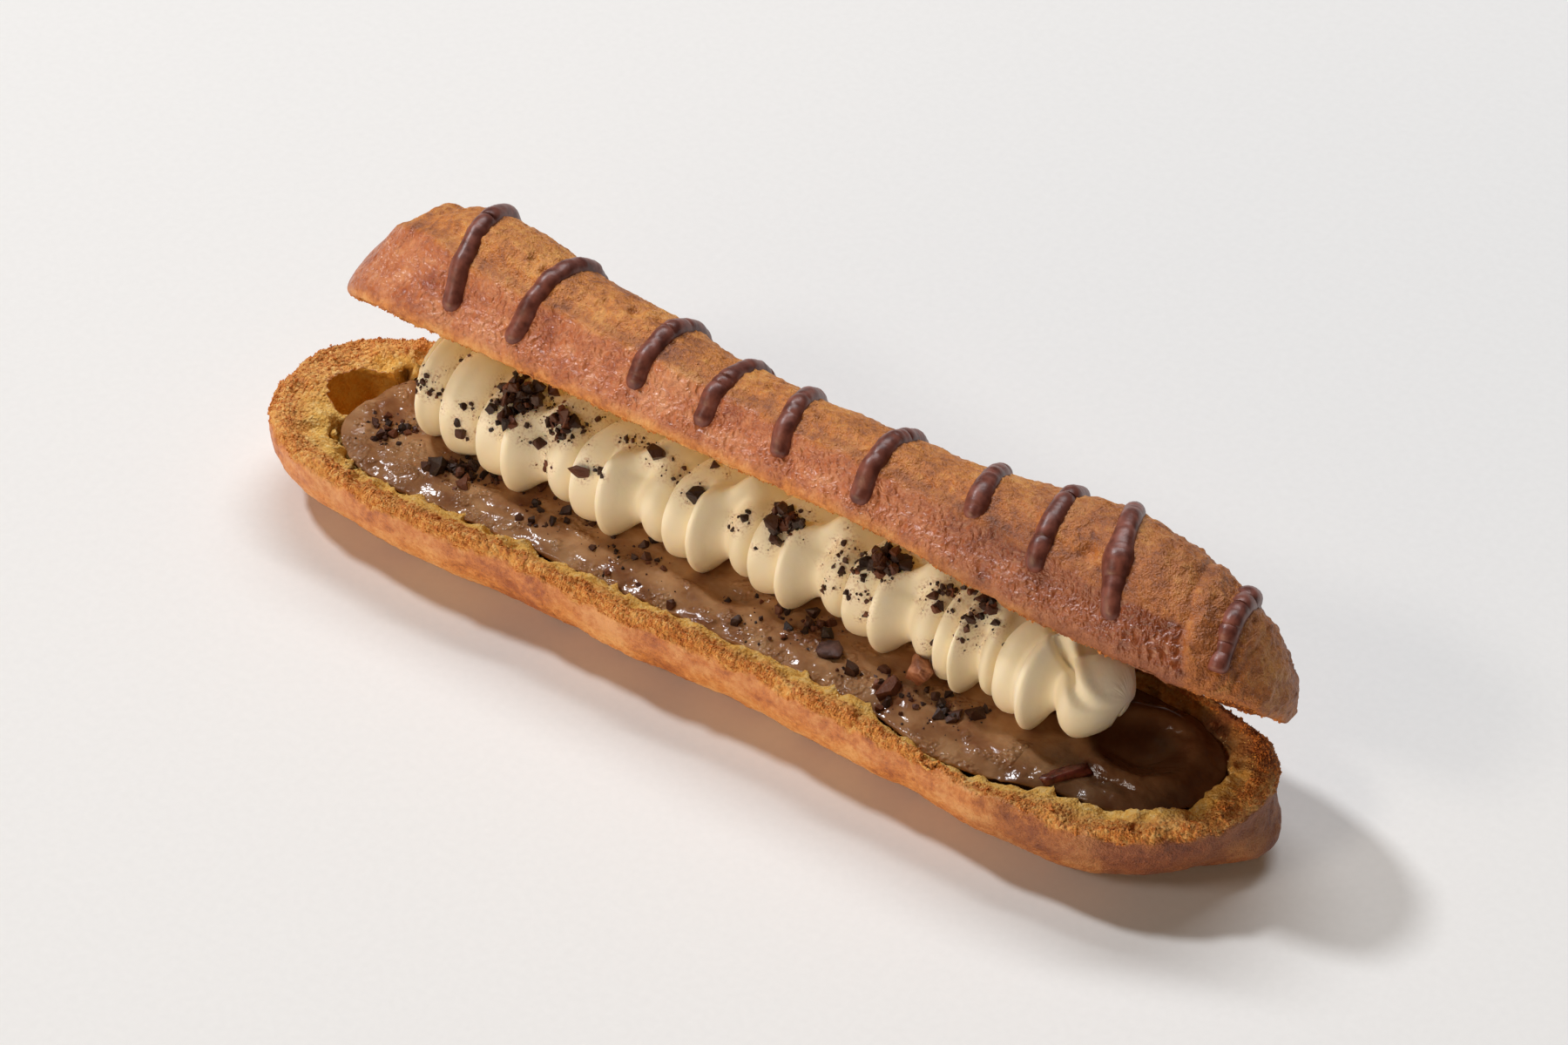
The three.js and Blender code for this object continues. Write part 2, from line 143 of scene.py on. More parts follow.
def area_light(name, direction, distance, size, share, colour):
    """A lamp that adds the given share of light to a white sheet lying on the table."""
    direction = Vector(direction).normalized()
    light = bpy.data.objects.new(name, bpy.data.lights.new(name, "AREA"))
    light.data.shape = "ELLIPSE"
    light.data.size, light.data.size_y = size
    light.data.energy = share / direction.z * (math.pi * distance) ** 2
    light.data.color = linear(colour)[:3]
    light.location = direction * distance
    light.rotation_euler = direction.to_track_quat("Z", "Y").to_euler()
    scene.collection.objects.link(light)


area_light("window", (-0.74, 0.06, 1), 3.0, (0.36, 0.36), 0.37, "#F8FAFF")
area_light("softbox", (-0.25, 0.6, 1), 3.0, (2.8, 0.35), 0.46, "#FAFBFF")
area_light("lamp", (-0.62, -1, 0.97), 2.0, (0.6, 0.3), 0.09, "#FFF4EA")
area_light("card", (-0.3, -1, 0.13), 1.6, (1.8, 0.3), 0.06, "#FFDDB4")
scene.world = bpy.data.worlds.new("room")
scene.world.use_nodes = True
room = scene.world.node_tree.nodes["Background"]
room.inputs["Color"].default_value = linear("#FFE2CC")
room.inputs["Strength"].default_value = 0.05

TABLE_SIZE = 4.0
table_mesh = bpy.data.meshes.new("table")
half = TABLE_SIZE / 2
corners = [(x * half, y * half, -0.02 * MM) for x, y in ((-1, -1), (1, -1), (1, 1), (-1, 1))]
table_mesh.from_pydata(corners, [], [(0, 1, 2, 3)])
table = bpy.data.objects.new("table", table_mesh)
scene.collection.objects.link(table)
# Matt coated card: nearly white and a little warm, with a fibre texture too fine to throw shadows.
coated = {"Roughness": 0.9, "Specular IOR Level": 0.2}
card, tree, surface, place = set_up("matt coated card", coated)
fibre = add(tree, "ShaderNodeTexNoise", {"Vector": place, "Scale": 900.0, "Detail": 3.0})
tones = {0: fibre, 6: linear("#F0F0ED"), 7: linear("#F6F6F3")}
tone = add(tree, "ShaderNodeMix", tones, data_type="RGBA")
tree.links.new(tone.outputs[2], surface.inputs["Base Color"])
table_mesh.materials.append(card)

# %% [markdown]
# ## Tools for shapes
#
# Baked dough is a smooth form with several sizes of relief on it. The form comes from a formula, on a grid of
# points. The relief is random but must be the same on every run, so the noise is worked out here from a
# fixed hash: lumps of a given size, between about -1 and 1.


# %% Smooth steps and noise
def step(x, low, high):
    t = np.clip((x - low) / (high - low), 0, 1)
    return t * t * (3 - 2 * t)


def bump(x, centre, spread):
    return np.exp(-(((x - centre) / spread) ** 2))


def uneven(x, y, seed):
    """The slow unevenness of baked dough, between -1 and 1."""
    return (
        0.45 * np.sin(0.21 * x + 0.13 * y + seed)
        + 0.35 * np.sin(0.47 * x - 0.31 * y + 2.3 * seed)
        + 0.2 * np.sin(0.83 * x + 0.57 * y + 4.1 * seed)
    )


HASH = np.array([73856093, 19349663, 83492791])


def noise(points, size, seed=0):
    at = points / np.array(size) + 37.7 * seed + 500
    cell = np.floor(at).astype(np.int64)
    part = at - cell
    ease = part**3 * (part * (part * 6 - 15) + 10)
    total = np.zeros(len(at))
    for corner in np.ndindex(2, 2, 2):
        key = (cell + corner) @ HASH
        key = ((key ^ (key >> 13)) * 1274126177) & 0xFFFFFFFF
        slope = np.stack([key & 1023, (key >> 10) & 1023, (key >> 20) & 1023], 1) / 511.5 - 1
        weight = np.prod(np.where(corner, ease, 1 - ease), axis=1)
        total += weight * np.sum(slope * (part - corner), axis=1)
    return 1.7 * total


def rough(points, size, seed=0, octaves=3):
    """Noise with finer noise on it, each octave half as large and half as high."""
    layers = [noise(points, np.array(size) / 2**i, seed + i) / 2**i for i in range(octaves)]
    return sum(layers)


# %% [markdown]
# A grid of points becomes a closed skin when its last column joins its first, and when the points that fall
# together at the poles and seams are welded. Values that a material needs, such as how deep a point lies in
# the torn crumb, are stored on the mesh as attributes, so that they follow the surface.


# %% Skins
def add_piece(name, points, faces):
    mesh = bpy.data.meshes.new(name)
    mesh.from_pydata(points * MM, [], faces)
    piece = bpy.data.objects.new(name, mesh)
    scene.collection.objects.link(piece)
    return piece


def store(piece, name, values):
    layers = piece.data.attributes
    layer = layers.get(name) or layers.new(name, "FLOAT", "POINT")
    layer.data.foreach_set("value", np.asarray(values, np.float32))


def stored(piece, name):
    values = np.empty(len(piece.data.vertices), np.float32)
    piece.data.attributes[name].data.foreach_get("value", values)
    return values.astype(float)


def points_of(piece):
    values = np.empty(3 * len(piece.data.vertices), np.float32)
    piece.data.vertices.foreach_get("co", values)
    return values.reshape(-1, 3).astype(float) / MM


def normals_of(piece):
    values = np.empty(3 * len(piece.data.vertices), np.float32)
    piece.data.vertex_normals.foreach_get("vector", values)
    return values.reshape(-1, 3).astype(float)


def move(piece, points):
    piece.data.vertices.foreach_set("co", (points * MM).astype(np.float32).ravel())
    piece.data.update()


def weld(piece):
    form = bmesh.new()
    form.from_mesh(piece.data)
    bmesh.ops.remove_doubles(form, verts=form.verts, dist=0.002 * MM)
    bmesh.ops.dissolve_degenerate(form, edges=form.edges, dist=1e-7)
    bmesh.ops.recalc_face_normals(form, faces=form.faces)
    form.to_mesh(piece.data)
    form.free()
    piece.data.shade_smooth()


def skin(name, rings, **attributes):
    """A closed skin over rings of points, an array of rings x points x 3."""
    count, around = rings.shape[:2]
    row, column = np.meshgrid(np.arange(count - 1), np.arange(around), indexing="ij")
    beside = (column + 1) % around
    faces = np.stack([row * around + column, row * around + beside], -1).reshape(-1, 2)
    faces = np.concatenate([faces, faces[:, ::-1] + around], 1)
    piece = add_piece(name, rings.reshape(-1, 3), faces.tolist())
    for key, values in attributes.items():
        store(piece, key, np.broadcast_to(values, rings.shape[:2]).ravel())
    weld(piece)
    return piece


def dent(piece, centres, radii, depth):
    """Presses round hollows into a skin, as burst bubbles do."""
    points, normals = points_of(piece), normals_of(piece)
    tree = KDTree(len(points))
    for i, point in enumerate(points):
        tree.insert(point, i)
    tree.balance()
    moved = points.copy()
    for centre, radius in zip(centres, radii):
        near = tree.find_range(centre, radius)
        index = np.array([i for _, i, _ in near], int)
        far = np.array([d for _, _, d in near]) / radius
        moved[index] -= normals[index] * (depth * radius * (1 - far**2))[:, None]
    move(piece, moved)


# %% [markdown]
# Piped dough has a plan like a long sausage: a straight spine with rounded ends. A section, given as shares
# of the way from the spine to the outline and heights, runs from the middle of the underside over the rim to
# the middle of the top. Every ring of the skin is the plan drawn in to one share.


# %% Loaves
STRAIGHT_STEPS, END_STEPS = 320, 150


def plan(length, width, end, fullness=2.25, lean=0.0, left_lean=0.0):
    """Points of the spine and the reach from each to the outline, once round."""
    spine = length / 2 - end
    along = np.linspace(-spine, spine, STRAIGHT_STEPS, endpoint=False)
    turn = np.radians(np.linspace(-90, 90, END_STEPS, endpoint=False))
    out = np.abs(np.cos(turn)) ** (2 / fullness)
    side = np.sign(turn) * np.abs(np.sin(turn)) ** (2 / fullness) * width / 2
    flat, tip = np.zeros(STRAIGHT_STEPS), np.full(END_STEPS, spine)
    x = np.concatenate([along, tip, -along, -tip])
    dx = np.concatenate([flat, out * end + lean * side * out, flat, -(out * end) - left_lean * side * out])
    dy = np.concatenate([flat - width / 2, side, flat + width / 2, -side])
    return x, dx, dy


def spline(points, t):
    """A smooth curve through the points, with t from 0 to 1."""
    points = np.array(points, float)
    at = t * (len(points) - 1)
    whole = np.minimum(np.floor(at).astype(int), len(points) - 2)
    f = (at - whole)[:, None]
    last = len(points) - 1
    p0, p1, p2, p3 = (points[np.clip(whole + k, 0, last)] for k in (-1, 0, 1, 2))
    v0, v1 = (p2 - p0) / 2, (p3 - p1) / 2
    return (2 * p1 - 2 * p2 + v0 + v1) * f**3 + (3 * p2 - 3 * p1 - 2 * v0 - v1) * f**2 + v0 * f + p1


def section_steps(section, reach, spacing):
    """Values of t along a section, with a wanted spacing in mm for each of its stretches."""
    steps = []
    size = np.array(section) * (reach, 1)
    for i, gap in enumerate(spacing):
        length = math.dist(size[i], size[i + 1])
        count = max(1, round(length / gap))
        steps.append((i + np.arange(count) / count) / len(spacing))
    return np.append(np.concatenate(steps), 1.0)


def loaf(plan_points, section, t):
    x, dx, dy = plan_points
    share, z = spline(section, t).T
    rings = np.stack([x + np.outer(share, dx), np.outer(share, dy), np.outer(z, np.ones_like(x))], -1)
    return rings, np.outer(share, np.ones_like(x)), np.outer(t, np.ones_like(x))


# %% [markdown]
# ## The base
#
# The lower half of the shell is a boat with a flat foot. Outside it has a thin baked crust, smooth but for
# slow bumps and a fine grain. Its cut face slopes down to the custard and is torn: crumbly and golden at the
# rim, pale and full of burst bubbles inside, with a ragged lip. At the left end a large bubble is cut open.

# %% Base: form
RIM_HEIGHT, FLOOR_HEIGHT = 13, 3.2
BASE_PLAN = dict(length=150, width=31, end=20.5, lean=0.28, left_lean=0.05)
BASE_SECTION = [
    (0, 0), (0.44, 0), (0.7, 1.5), (0.89, 4.4), (0.98, 7.6), (1, 10.2), (0.975, 12.3),
    (0.92, RIM_HEIGHT), (0.8, 12.4), (0.69, 11.2), (0.62, 8.8), (0.5, 4.8), (0.28, FLOOR_HEIGHT),
    (0, FLOOR_HEIGHT),
]
BASE_SPACING = [3, 1.3, 0.6, 0.45, 0.45, 0.4, 0.3, 0.28, 0.28, 0.28, 0.5, 1, 2.5]
CREST = 7 / 13  # where along the section the crust ends and the torn face starts


def rim_height(x):
    return RIM_HEIGHT - 1.3 * step(x, 15, 50) + 1.1 * step(x, 58, 72) + 0.25 * uneven(x, 0, 1.7)


def base_swell(x):
    return 0.055 * bump(x, -46, 9) - 0.045 * bump(x, 8, 12) + 0.06 * bump(x, 44, 9)


def hollow_swell(x, y):
    in_front = 0.17 * bump(x, 36, 8) - 0.2 * step(x, 44, 56)
    at_back = 0.2 * step(x, 38, 54) + 0.25 * bump(x, -58, 6)
    return np.where(y < 0, in_front, at_back)


NOSE_FROM, NOSE_SHARE = -50, 0.75  # left of this the hollow and its custard are drawn in


def drawn_in(x, amount=1):
    return x - np.minimum(0, x - NOSE_FROM) * (1 - NOSE_SHARE) * amount


BASE_REACH = BASE_PLAN["width"] / 2
steps = section_steps(BASE_SECTION, BASE_REACH, BASE_SPACING)
rings, share, t = loaf(plan(**BASE_PLAN), BASE_SECTION, steps)
x, y, z = rings[..., 0].copy(), rings[..., 1].copy(), rings[..., 2].copy()
crust = t <= CREST
outer = crust & (share > 0.5)
rings[..., 1] *= 1 + base_swell(x)
rings[..., 1] += np.where(outer, np.sign(y) * 0.35 * uneven(x, 9 * t, 3.1), 0)
rings[..., 2] *= np.where(crust, rim_height(x) / RIM_HEIGHT, 1)
right_end = step(x, 62, 69) * step(y, -6, 3)
bulges = right_end * (4.6 * bump(rings[..., 2], 2.6, 3) - 0.7 * bump(rings[..., 2], 9.2, 1.5))
in_hollow = np.where(crust, 0, 1 - step(share, 0.7, 0.92))
rings[..., 0] = drawn_in(x, in_hollow) + np.where(outer, bulges, 0)
rings[..., 1] *= 1 + hollow_swell(x, y) * in_hollow
lowered = (rim_height(x) - RIM_HEIGHT) * step(z, 6, 11)
lowered += 0.35 * uneven(2.2 * x, 2 * y, 5.3) * step(share, 0.55, 0.7)
rings[..., 2] += np.where(crust, 0, lowered)
base = skin("choux base", rings, share=share, cut=step(t, CREST - 0.02, CREST + 0.03))
print("base:", len(base.data.polygons), "faces")

# %% Base: torn crumb and crust relief
CRACK_X = -19
BURST_IN_CRUMB, BURST_IN_SHELF, SHELF_END = 420, 60, -52

p, n = points_of(base), normals_of(base)
share, cut = stored(base, "share"), stored(base, "cut")
frayed = p[:, 2] + 0.9 * noise(p, (3, 2, 2), 34) + 0.3 * noise(p, 1, 35)
cut = np.maximum(cut, step(frayed, 11, 11.8) * (share > 0.7))
store(base, "cut", cut)
rim = bump(share, 0.93, 0.05) * step(p[:, 2], 9, 12)
lip = bump(share, 0.69, 0.05) * cut
out_of_foot = step(p[:, 2], 0, 1.2)
crust_relief = 0.16 * noise(p, (9, 5, 4), 1) + 0.14 * noise(p, (4, 1.6, 1.2), 2)
crust_relief += 0.1 * rough(p, (1.5, 0.9, 0.7), 3, 2)
crack = p[:, 0] + 0.35 * p[:, 2] + 0.4 * noise(p, 2, 12) - CRACK_X
on_front = (p[:, 1] < -8) * step(p[:, 2], 1, 4)
crust_relief += (0.22 * bump(crack, 1, 0.7) - 0.35 * bump(crack, 0, 0.35)) * on_front
crust_relief += 0.12 * rough(p, 0.9, 13, 2) * (1 - step(p[:, 2], 1.5, 4))
outer_torn = step(share, 0.76, 0.86)
torn_relief = 0.34 * rough(p, 2.8, 4) + (0.04 + 0.2 * outer_torn) * rough(p, 0.8, 7, 2)
amount = crust_relief * (1 - cut) * out_of_foot + torn_relief * cut * step(share, 0.3, 0.6)
p += n * amount[:, None]
p[:, 2] += rim * (0.3 * noise(p, 3.1, 8) + 0.16 * noise(p, 1.1, 9))
p[:, 2] += 1.1 * lip * np.maximum(0, rough(p, (2.2, 2.2, 9), 10)) * step(p[:, 2], 8, 10)
torn_bits = 1.5 * np.maximum(0, rough(p, (4, 4, 9), 33)) * bump(share, 0.7, 0.07) * cut
torn_bits *= step(p[:, 2], 8.5, 10.5)
p += n * (1, 1, 0) * torn_bits[:, None]
move(base, p)

random = np.random.default_rng(7)
torn = np.flatnonzero((cut > 0.9) & (share > 0.6) & (share < 0.9))
burst = random.choice(torn, BURST_IN_CRUMB, replace=False)
radii = random.uniform(0.3, 0.8, BURST_IN_CRUMB) + 1.4 * random.uniform(0, 1, BURST_IN_CRUMB) ** 5
dent(base, p[burst], radii, 0.5)
shelf = np.flatnonzero((cut > 0.9) & (share > 0.62) & (share < 0.9) & (p[:, 0] < SHELF_END))
burst = random.choice(shelf, BURST_IN_SHELF, replace=False)
dent(base, points_of(base)[burst], random.uniform(0.8, 1.9, BURST_IN_SHELF), 0.45)

# %% Base: the large bubble
BUBBLE_PLACE, BUBBLE_SIZE, BUBBLE_TURN = (-65.1, 1.8, 9.2), (6, 4.4, 5), math.radians(48)

form = bmesh.new()
bmesh.ops.create_icosphere(form, subdivisions=6, radius=1)
unit = np.array([v.co for v in form.verts])
faces = [[v.index for v in f.verts] for f in form.faces]
form.free()
c, s = math.cos(BUBBLE_TURN), math.sin(BUBBLE_TURN)
wall = (unit * BUBBLE_SIZE) @ [[c, s, 0], [-s, c, 0], [0, 0, 1]] + BUBBLE_PLACE
ragged = 0.2 + step(wall[:, 2], 9, 11)
wall += unit * (0.25 * rough(wall, 3, 30, 2) + 0.3 * ragged * rough(wall, 1.1, 31, 2))[:, None]
bubble = add_piece("bubble", wall, faces)
for key, value in {"share": 0.6, "cut": 1, "bubble": 1}.items():
    store(bubble, key, np.full(len(wall), value))
store(base, "bubble", np.zeros(len(base.data.vertices)))
opened = base.modifiers.new("bubble", "BOOLEAN")
opened.object, opened.operation, opened.solver = bubble, "DIFFERENCE", "MANIFOLD"
mesh = bpy.data.meshes.new_from_object(base.evaluated_get(bpy.context.evaluated_depsgraph_get()))
mesh.materials.clear()
base.modifiers.clear()
base.data = mesh
bpy.data.objects.remove(bubble)
base.data.shade_smooth()
print("base with its bubble:", len(base.data.polygons), "faces")

# %% [markdown]
# ## Chocolate custard
#
# Custard is piped into the base, so it lies in a soft roll with a rounded nose at the left and a ring with a
# dimple at the right, where the nozzle lifted off. It shines wetly, and small bubbles have burst in it.

# %% Custard
CUSTARD_LEVEL = 10.6
CUSTARD_SECTION = [
    (0, FLOOR_HEIGHT + 0.35), (0.24, FLOOR_HEIGHT + 0.35), (0.46, 5.4), (0.59, 8.9),
    (0.655, CUSTARD_LEVEL), (0.62, CUSTARD_LEVEL + 0.35), (0.48, CUSTARD_LEVEL + 0.6),
    (0.34, CUSTARD_LEVEL + 0.9), (0.17, CUSTARD_LEVEL + 1), (0, CUSTARD_LEVEL + 1),
]
CUSTARD_SPACING = [3, 2, 0.6, 0.3, 0.2, 0.28, 0.28, 0.32, 0.4]
SWIRL = dict(x=58, y=2.2, radius=5.6)
BUBBLES = 260

steps = section_steps(CUSTARD_SECTION, BASE_REACH, CUSTARD_SPACING)
rings, share, t = loaf(plan(**BASE_PLAN), CUSTARD_SECTION, steps)
x, y = rings[..., 0].copy(), rings[..., 1].copy()
rings[..., 1] *= (1 + base_swell(x)) * (1 + hollow_swell(x, y) * step(share, 0.1, 0.4))
rings[..., 0] = drawn_in(x)
top = step(t, 3 / 9, 4 / 9)
from_swirl = np.hypot((x - SWIRL["x"]) * 0.85, y - SWIRL["y"])
rings[..., 2] += top * (
    0.3 * uneven(1.6 * x, 2.5 * y, 0.6)
    - 0.8 * step(x, 24, 50)
    + 1.2 * bump(from_swirl, SWIRL["radius"], 1.5)
    - 2.0 * bump(from_swirl, 0, 2.3)
)
custard = skin("chocolate custard", rings, top=top, share=share)
p, n = points_of(custard), normals_of(custard)
top = stored(custard, "top")
roll = bump(stored(custard, "share"), 0.5, 0.13)
lumps = 0.36 * noise(p, (12, 4, 6), 1) + 0.2 * noise(p, (7, 1.8, 2), 2)
lumps += 0.06 * rough(p, (1.6, 0.9, 0.9), 3, 2)
p += n * (top * (lumps + 0.5 * roll))[:, None]
move(custard, p)
wet = np.flatnonzero((top > 0.9) & (p[:, 0] < 50))
bubbles = random.choice(wet, BUBBLES, replace=False)
dent(custard, p[bubbles], random.uniform(0.2, 0.5, BUBBLES), 0.6)
print("custard:", len(custard.data.polygons), "faces")

# %% [markdown]
# ## The lid
#
# The upper half of the shell is made lying flat, crumb side down, and then rolled back about its long edge.
# Its dome has a waist between two swollen ends. A soft ridge runs along the front: below it the crust is
# tight and shines, above it the crust is matt and wrinkled. A notch sets off the left tip, and a fold the
# right one.

# %% Lid: form
LID_PLAN = dict(length=144.5, width=28.5, end=20)
LID_WAIST, LID_LEFT_SWELL, LID_SHOULDER, LID_RIGHT_SWELL = 12.8, 5.5, 1.5, 4.9
LID_LEAN, LID_TIP_LEAN, LID_DISH = 0.022, 0.29, 4.4
LID_OPENING, LID_SHIFT = math.radians(46.5), 3.4
HINGE_Y, HINGE_Z = 15.7, 13.65
LID_SECTION = [
    (0, LID_DISH), (0.28, LID_DISH - 0.2), (0.55, LID_DISH - 1.2), (0.74, 1.4), (0.85, 0.2), (0.94, 0),
    (0.99, 1.5), (1, 4), (0.97, 7.2), (0.86, 10.2), (0.62, 12.1), (0.32, 12.7), (0, LID_WAIST),
]
LID_SPACING = [2, 1, 0.6, 0.4, 0.3, 0.25, 0.3, 0.32, 0.32, 0.34, 0.4, 0.5]
LID_EDGE = 5

steps = section_steps(LID_SECTION, LID_PLAN["width"] / 2, LID_SPACING)
rings, share, t = loaf(plan(**LID_PLAN), LID_SECTION, steps)
x, y = rings[..., 0].copy(), rings[..., 1].copy()
dome = step(t * (len(LID_SECTION) - 1), LID_EDGE, LID_EDGE + 4)
height = LID_WAIST + LID_LEFT_SWELL * bump(x, -51.5, 18)
height += LID_SHOULDER * bump(x, -25, 9) + LID_RIGHT_SWELL * bump(x, 45.5, 15.5)
z = rings[..., 2] * (1 + dome * (height / LID_WAIST - 1))
z *= 1 - LID_LEAN * dome * np.maximum(0, y + LID_PLAN["width"] / 6)
rings[..., 0] -= np.sign(x) * LID_TIP_LEAN * z * step(np.abs(x), 60, 71)
rings[..., 2] = z - 2 * step(x, 12, 46) + 1.2 * step(x, 60, 70) - 0.9 * dome * bump(x, -64.4, 1.4)
rings[..., 1] += np.where(dome > 0, 0.3 * uneven(x, 36 * t / 12, 2.4) * step(np.abs(y), 2, 8), 0)
lid_cut = 1 - step(t * (len(LID_SECTION) - 1), LID_EDGE - 0.6, LID_EDGE + 0.2)
lid = skin("choux lid", rings, share=share, cut=lid_cut, dome=dome)
print("lid:", len(lid.data.polygons), "faces")

# %% Lid: ridge, folds and wrinkles
FOLD_X, NOTCH_X, PITS = 61.5, -63, 170

p, n = points_of(lid), normals_of(lid)
cut, dome = stored(lid, "cut"), stored(lid, "dome")
x, y, z = p.T
right_fold = x - FOLD_X + 0.3 * z + 0.8 * noise(p, 5, 7)
ridge_line = 7.2 - 0.04 * x + 1.6 * bump(x, -58, 8) + 0.5 * noise(p * (1, 0, 0), 9, 3)
on_side = (1 - cut) * step(np.abs(y), 5, 10) * (1 - step(x, 46, 58))
above = step(z - ridge_line + 0.5 * noise(p, 2.5, 5), -0.5, 0.6)
crown = np.maximum(above, step(right_fold, -0.5, 1)) * (1 - cut)
relief = on_side * (0.5 * bump(z, ridge_line, 1.4) - 0.3 * bump(z, ridge_line * 0.55, 2))
relief -= 0.14 * on_side * bump(z, ridge_line + 1.6 + 0.5 * noise(p, 4, 6), 0.7)
relief -= 0.7 * bump(x - 0.25 * z, NOTCH_X, 1.4) * (1 - cut) * step(z, 3, 8)
fold_reach = dome * step(-y, 1, 6)
relief += (0.3 * bump(right_fold, 1.4, 1.2) - 0.45 * bump(right_fold, 0, 0.6)) * fold_reach
leather = np.abs(rough(p, (1.5, 1.1, 0.9), 11, 2))
relief += (1 - cut) * (1 - crown) * (0.1 * noise(p, (7, 4, 4), 13) - 0.16 * np.exp(-leather / 0.12))
wrinkles = 0.16 * rough(p, (2.2, 1.3, 1.3), 14, 3) + 0.16 * rough(p, (0.9, 0.7, 0.7), 15, 2)
relief += crown * (wrinkles + 0.35 * noise(p, (8, 5, 5), 17))
relief += step(x, 60, 66) * crown * 0.25 * noise(p, (0.9, 6, 6), 18)
relief += cut * (0.3 * rough(p, 2.2, 19) + 0.14 * rough(p, 0.8, 22, 2))
p += n * relief[:, None]
p[:, 2] += cut * step(stored(lid, "share"), 0.8, 0.9) * 0.18 * rough(p, 1.3, 24, 2)
move(lid, p)
store(lid, "crown", crown)
# The crease mask darkens the crust along the groove above the ridge: painted shade.
store(lid, "crease", on_side * bump(z, ridge_line + 1, 1))
store(lid, "height", z + 2 * step(x, 12, 46) - 1.2 * step(x, 60, 70))
top_side = np.flatnonzero((crown > 0.9) & (z > 5))
pits = random.choice(top_side, PITS, replace=False)
radii = random.uniform(0.35, 0.8, PITS) + 0.7 * random.uniform(0, 1, PITS) ** 8
dent(lid, p[pits], radii, 0.5)
p = points_of(lid)
lid_flat = BVHTree.FromPolygons([Vector(v) for v in p], [f.vertices[:] for f in lid.data.polygons])

# %% Lid: rolled back on the cream
edge_reach = LID_PLAN["width"] / 2 * LID_SECTION[LID_EDGE][0]
LID_PLACE = np.array(
    [
        LID_SHIFT,
        HINGE_Y - edge_reach * math.cos(LID_OPENING),
        HINGE_Z + edge_reach * math.sin(LID_OPENING),
    ]
)


def rolled(points):
    """Points of the flat lid, turned and moved to where it leans."""
    x, y, z = np.asarray(points, float).T
    c, s = math.cos(LID_OPENING), math.sin(LID_OPENING)
    return np.stack([x, y * c + z * s, z * c - y * s], 1) + LID_PLACE


move(lid, rolled(p))

# %% [markdown]
# ## Chocolate stripes
#
# Melted chocolate was drizzled across the lid. Each stripe is a soft cord, half sunk in the crust, with
# blunt ends. A small Geometry Nodes tree does it: edges become curves, an attribute sets how thick each curve
# is at every point, and a circle is swept along them.


# %% Geometry Nodes helpers
def new_tree(name, inputs):
    tree = bpy.data.node_groups.new(name, "GeometryNodeTree")
    tree.interface.new_socket("Geometry", in_out="INPUT", socket_type="NodeSocketGeometry")
    for label, kind in inputs.items():
        tree.interface.new_socket(label, in_out="INPUT", socket_type="NodeSocket" + kind)
    tree.interface.new_socket("Geometry", in_out="OUTPUT", socket_type="NodeSocketGeometry")
    return tree, tree.nodes.new("NodeGroupInput").outputs


def close_tree(tree, geometry, material):
    real = add(tree, "GeometryNodeRealizeInstances", {0: geometry})
    coated = add(tree, "GeometryNodeSetMaterial", {"Geometry": real, "Material": material})
    add(tree, "NodeGroupOutput", {0: coated})


def grown(piece, tree, **values):
    """Runs a tree on a piece and keeps the result as a plain mesh."""
    modifier = piece.modifiers.new(tree.name, "NODES")
    modifier.node_group = tree
    for item in tree.interface.items_tree:
        key = item.name.replace(" ", "_").lower()
        if item.in_out == "INPUT" and key in values:
            modifier[item.identifier] = values[key]
    seen = piece.evaluated_get(bpy.context.evaluated_depsgraph_get())
    mesh = bpy.data.meshes.new_from_object(seen)
    piece.modifiers.clear()
    piece.data = mesh
    return piece


# %% Stripes
STRIPE_WIDTH, STRIPE_AXIS, STRIPE_STEPS = 2.9, 3, 90
STRIPES = [
    dict(x=-49.8, drift=-4, start=1, finish=130, thick={75: 0.2, 100: 0.15}),
    dict(x=-39.7, drift=2.2, start=-1, finish=122),
    dict(x=-20.9, drift=0.2, start=3, finish=136),
    dict(x=-10.1, drift=0.3, start=0, finish=127, thick={40: -0.15, 75: 0.1}),
    dict(x=1.8, drift=-4, start=1, finish=133),
    dict(x=14.3, drift=-0.5, start=-4, finish=124),
    dict(x=29.2, drift=-4.6, start=13, finish=135, thick={25: 0.15}),
    dict(x=39.4, drift=-3, start=2, finish=128),
    dict(x=51, drift=-7.6, start=-5, finish=123, thick={24: 0.4}),
    dict(x=65.1, drift=-3, start=-9, finish=119, thick={60: 0.1, 5: -0.15}),
]
drizzle = bpy.data.materials.new("drizzled chocolate")
tree, given = new_tree("drizzle", {"Sides": "Int", "Material": "Material"})
thickness = add(tree, "GeometryNodeInputNamedAttribute", {"Name": "radius"}, data_type="FLOAT")
cords = add(tree, "GeometryNodeMeshToCurve", {"Mesh": given["Geometry"]})
cords = add(tree, "GeometryNodeSetCurveRadius", {"Curve": cords, "Radius": thickness.outputs[0]})
circle = add(tree, "GeometryNodeCurvePrimitiveCircle", {"Resolution": given["Sides"], "Radius": 1.0})
sweep = {"Curve": cords, "Profile Curve": circle, "Scale": thickness.outputs[0], "Fill Caps": True}
close_tree(tree, add(tree, "GeometryNodeCurveToMesh", sweep), given["Material"])

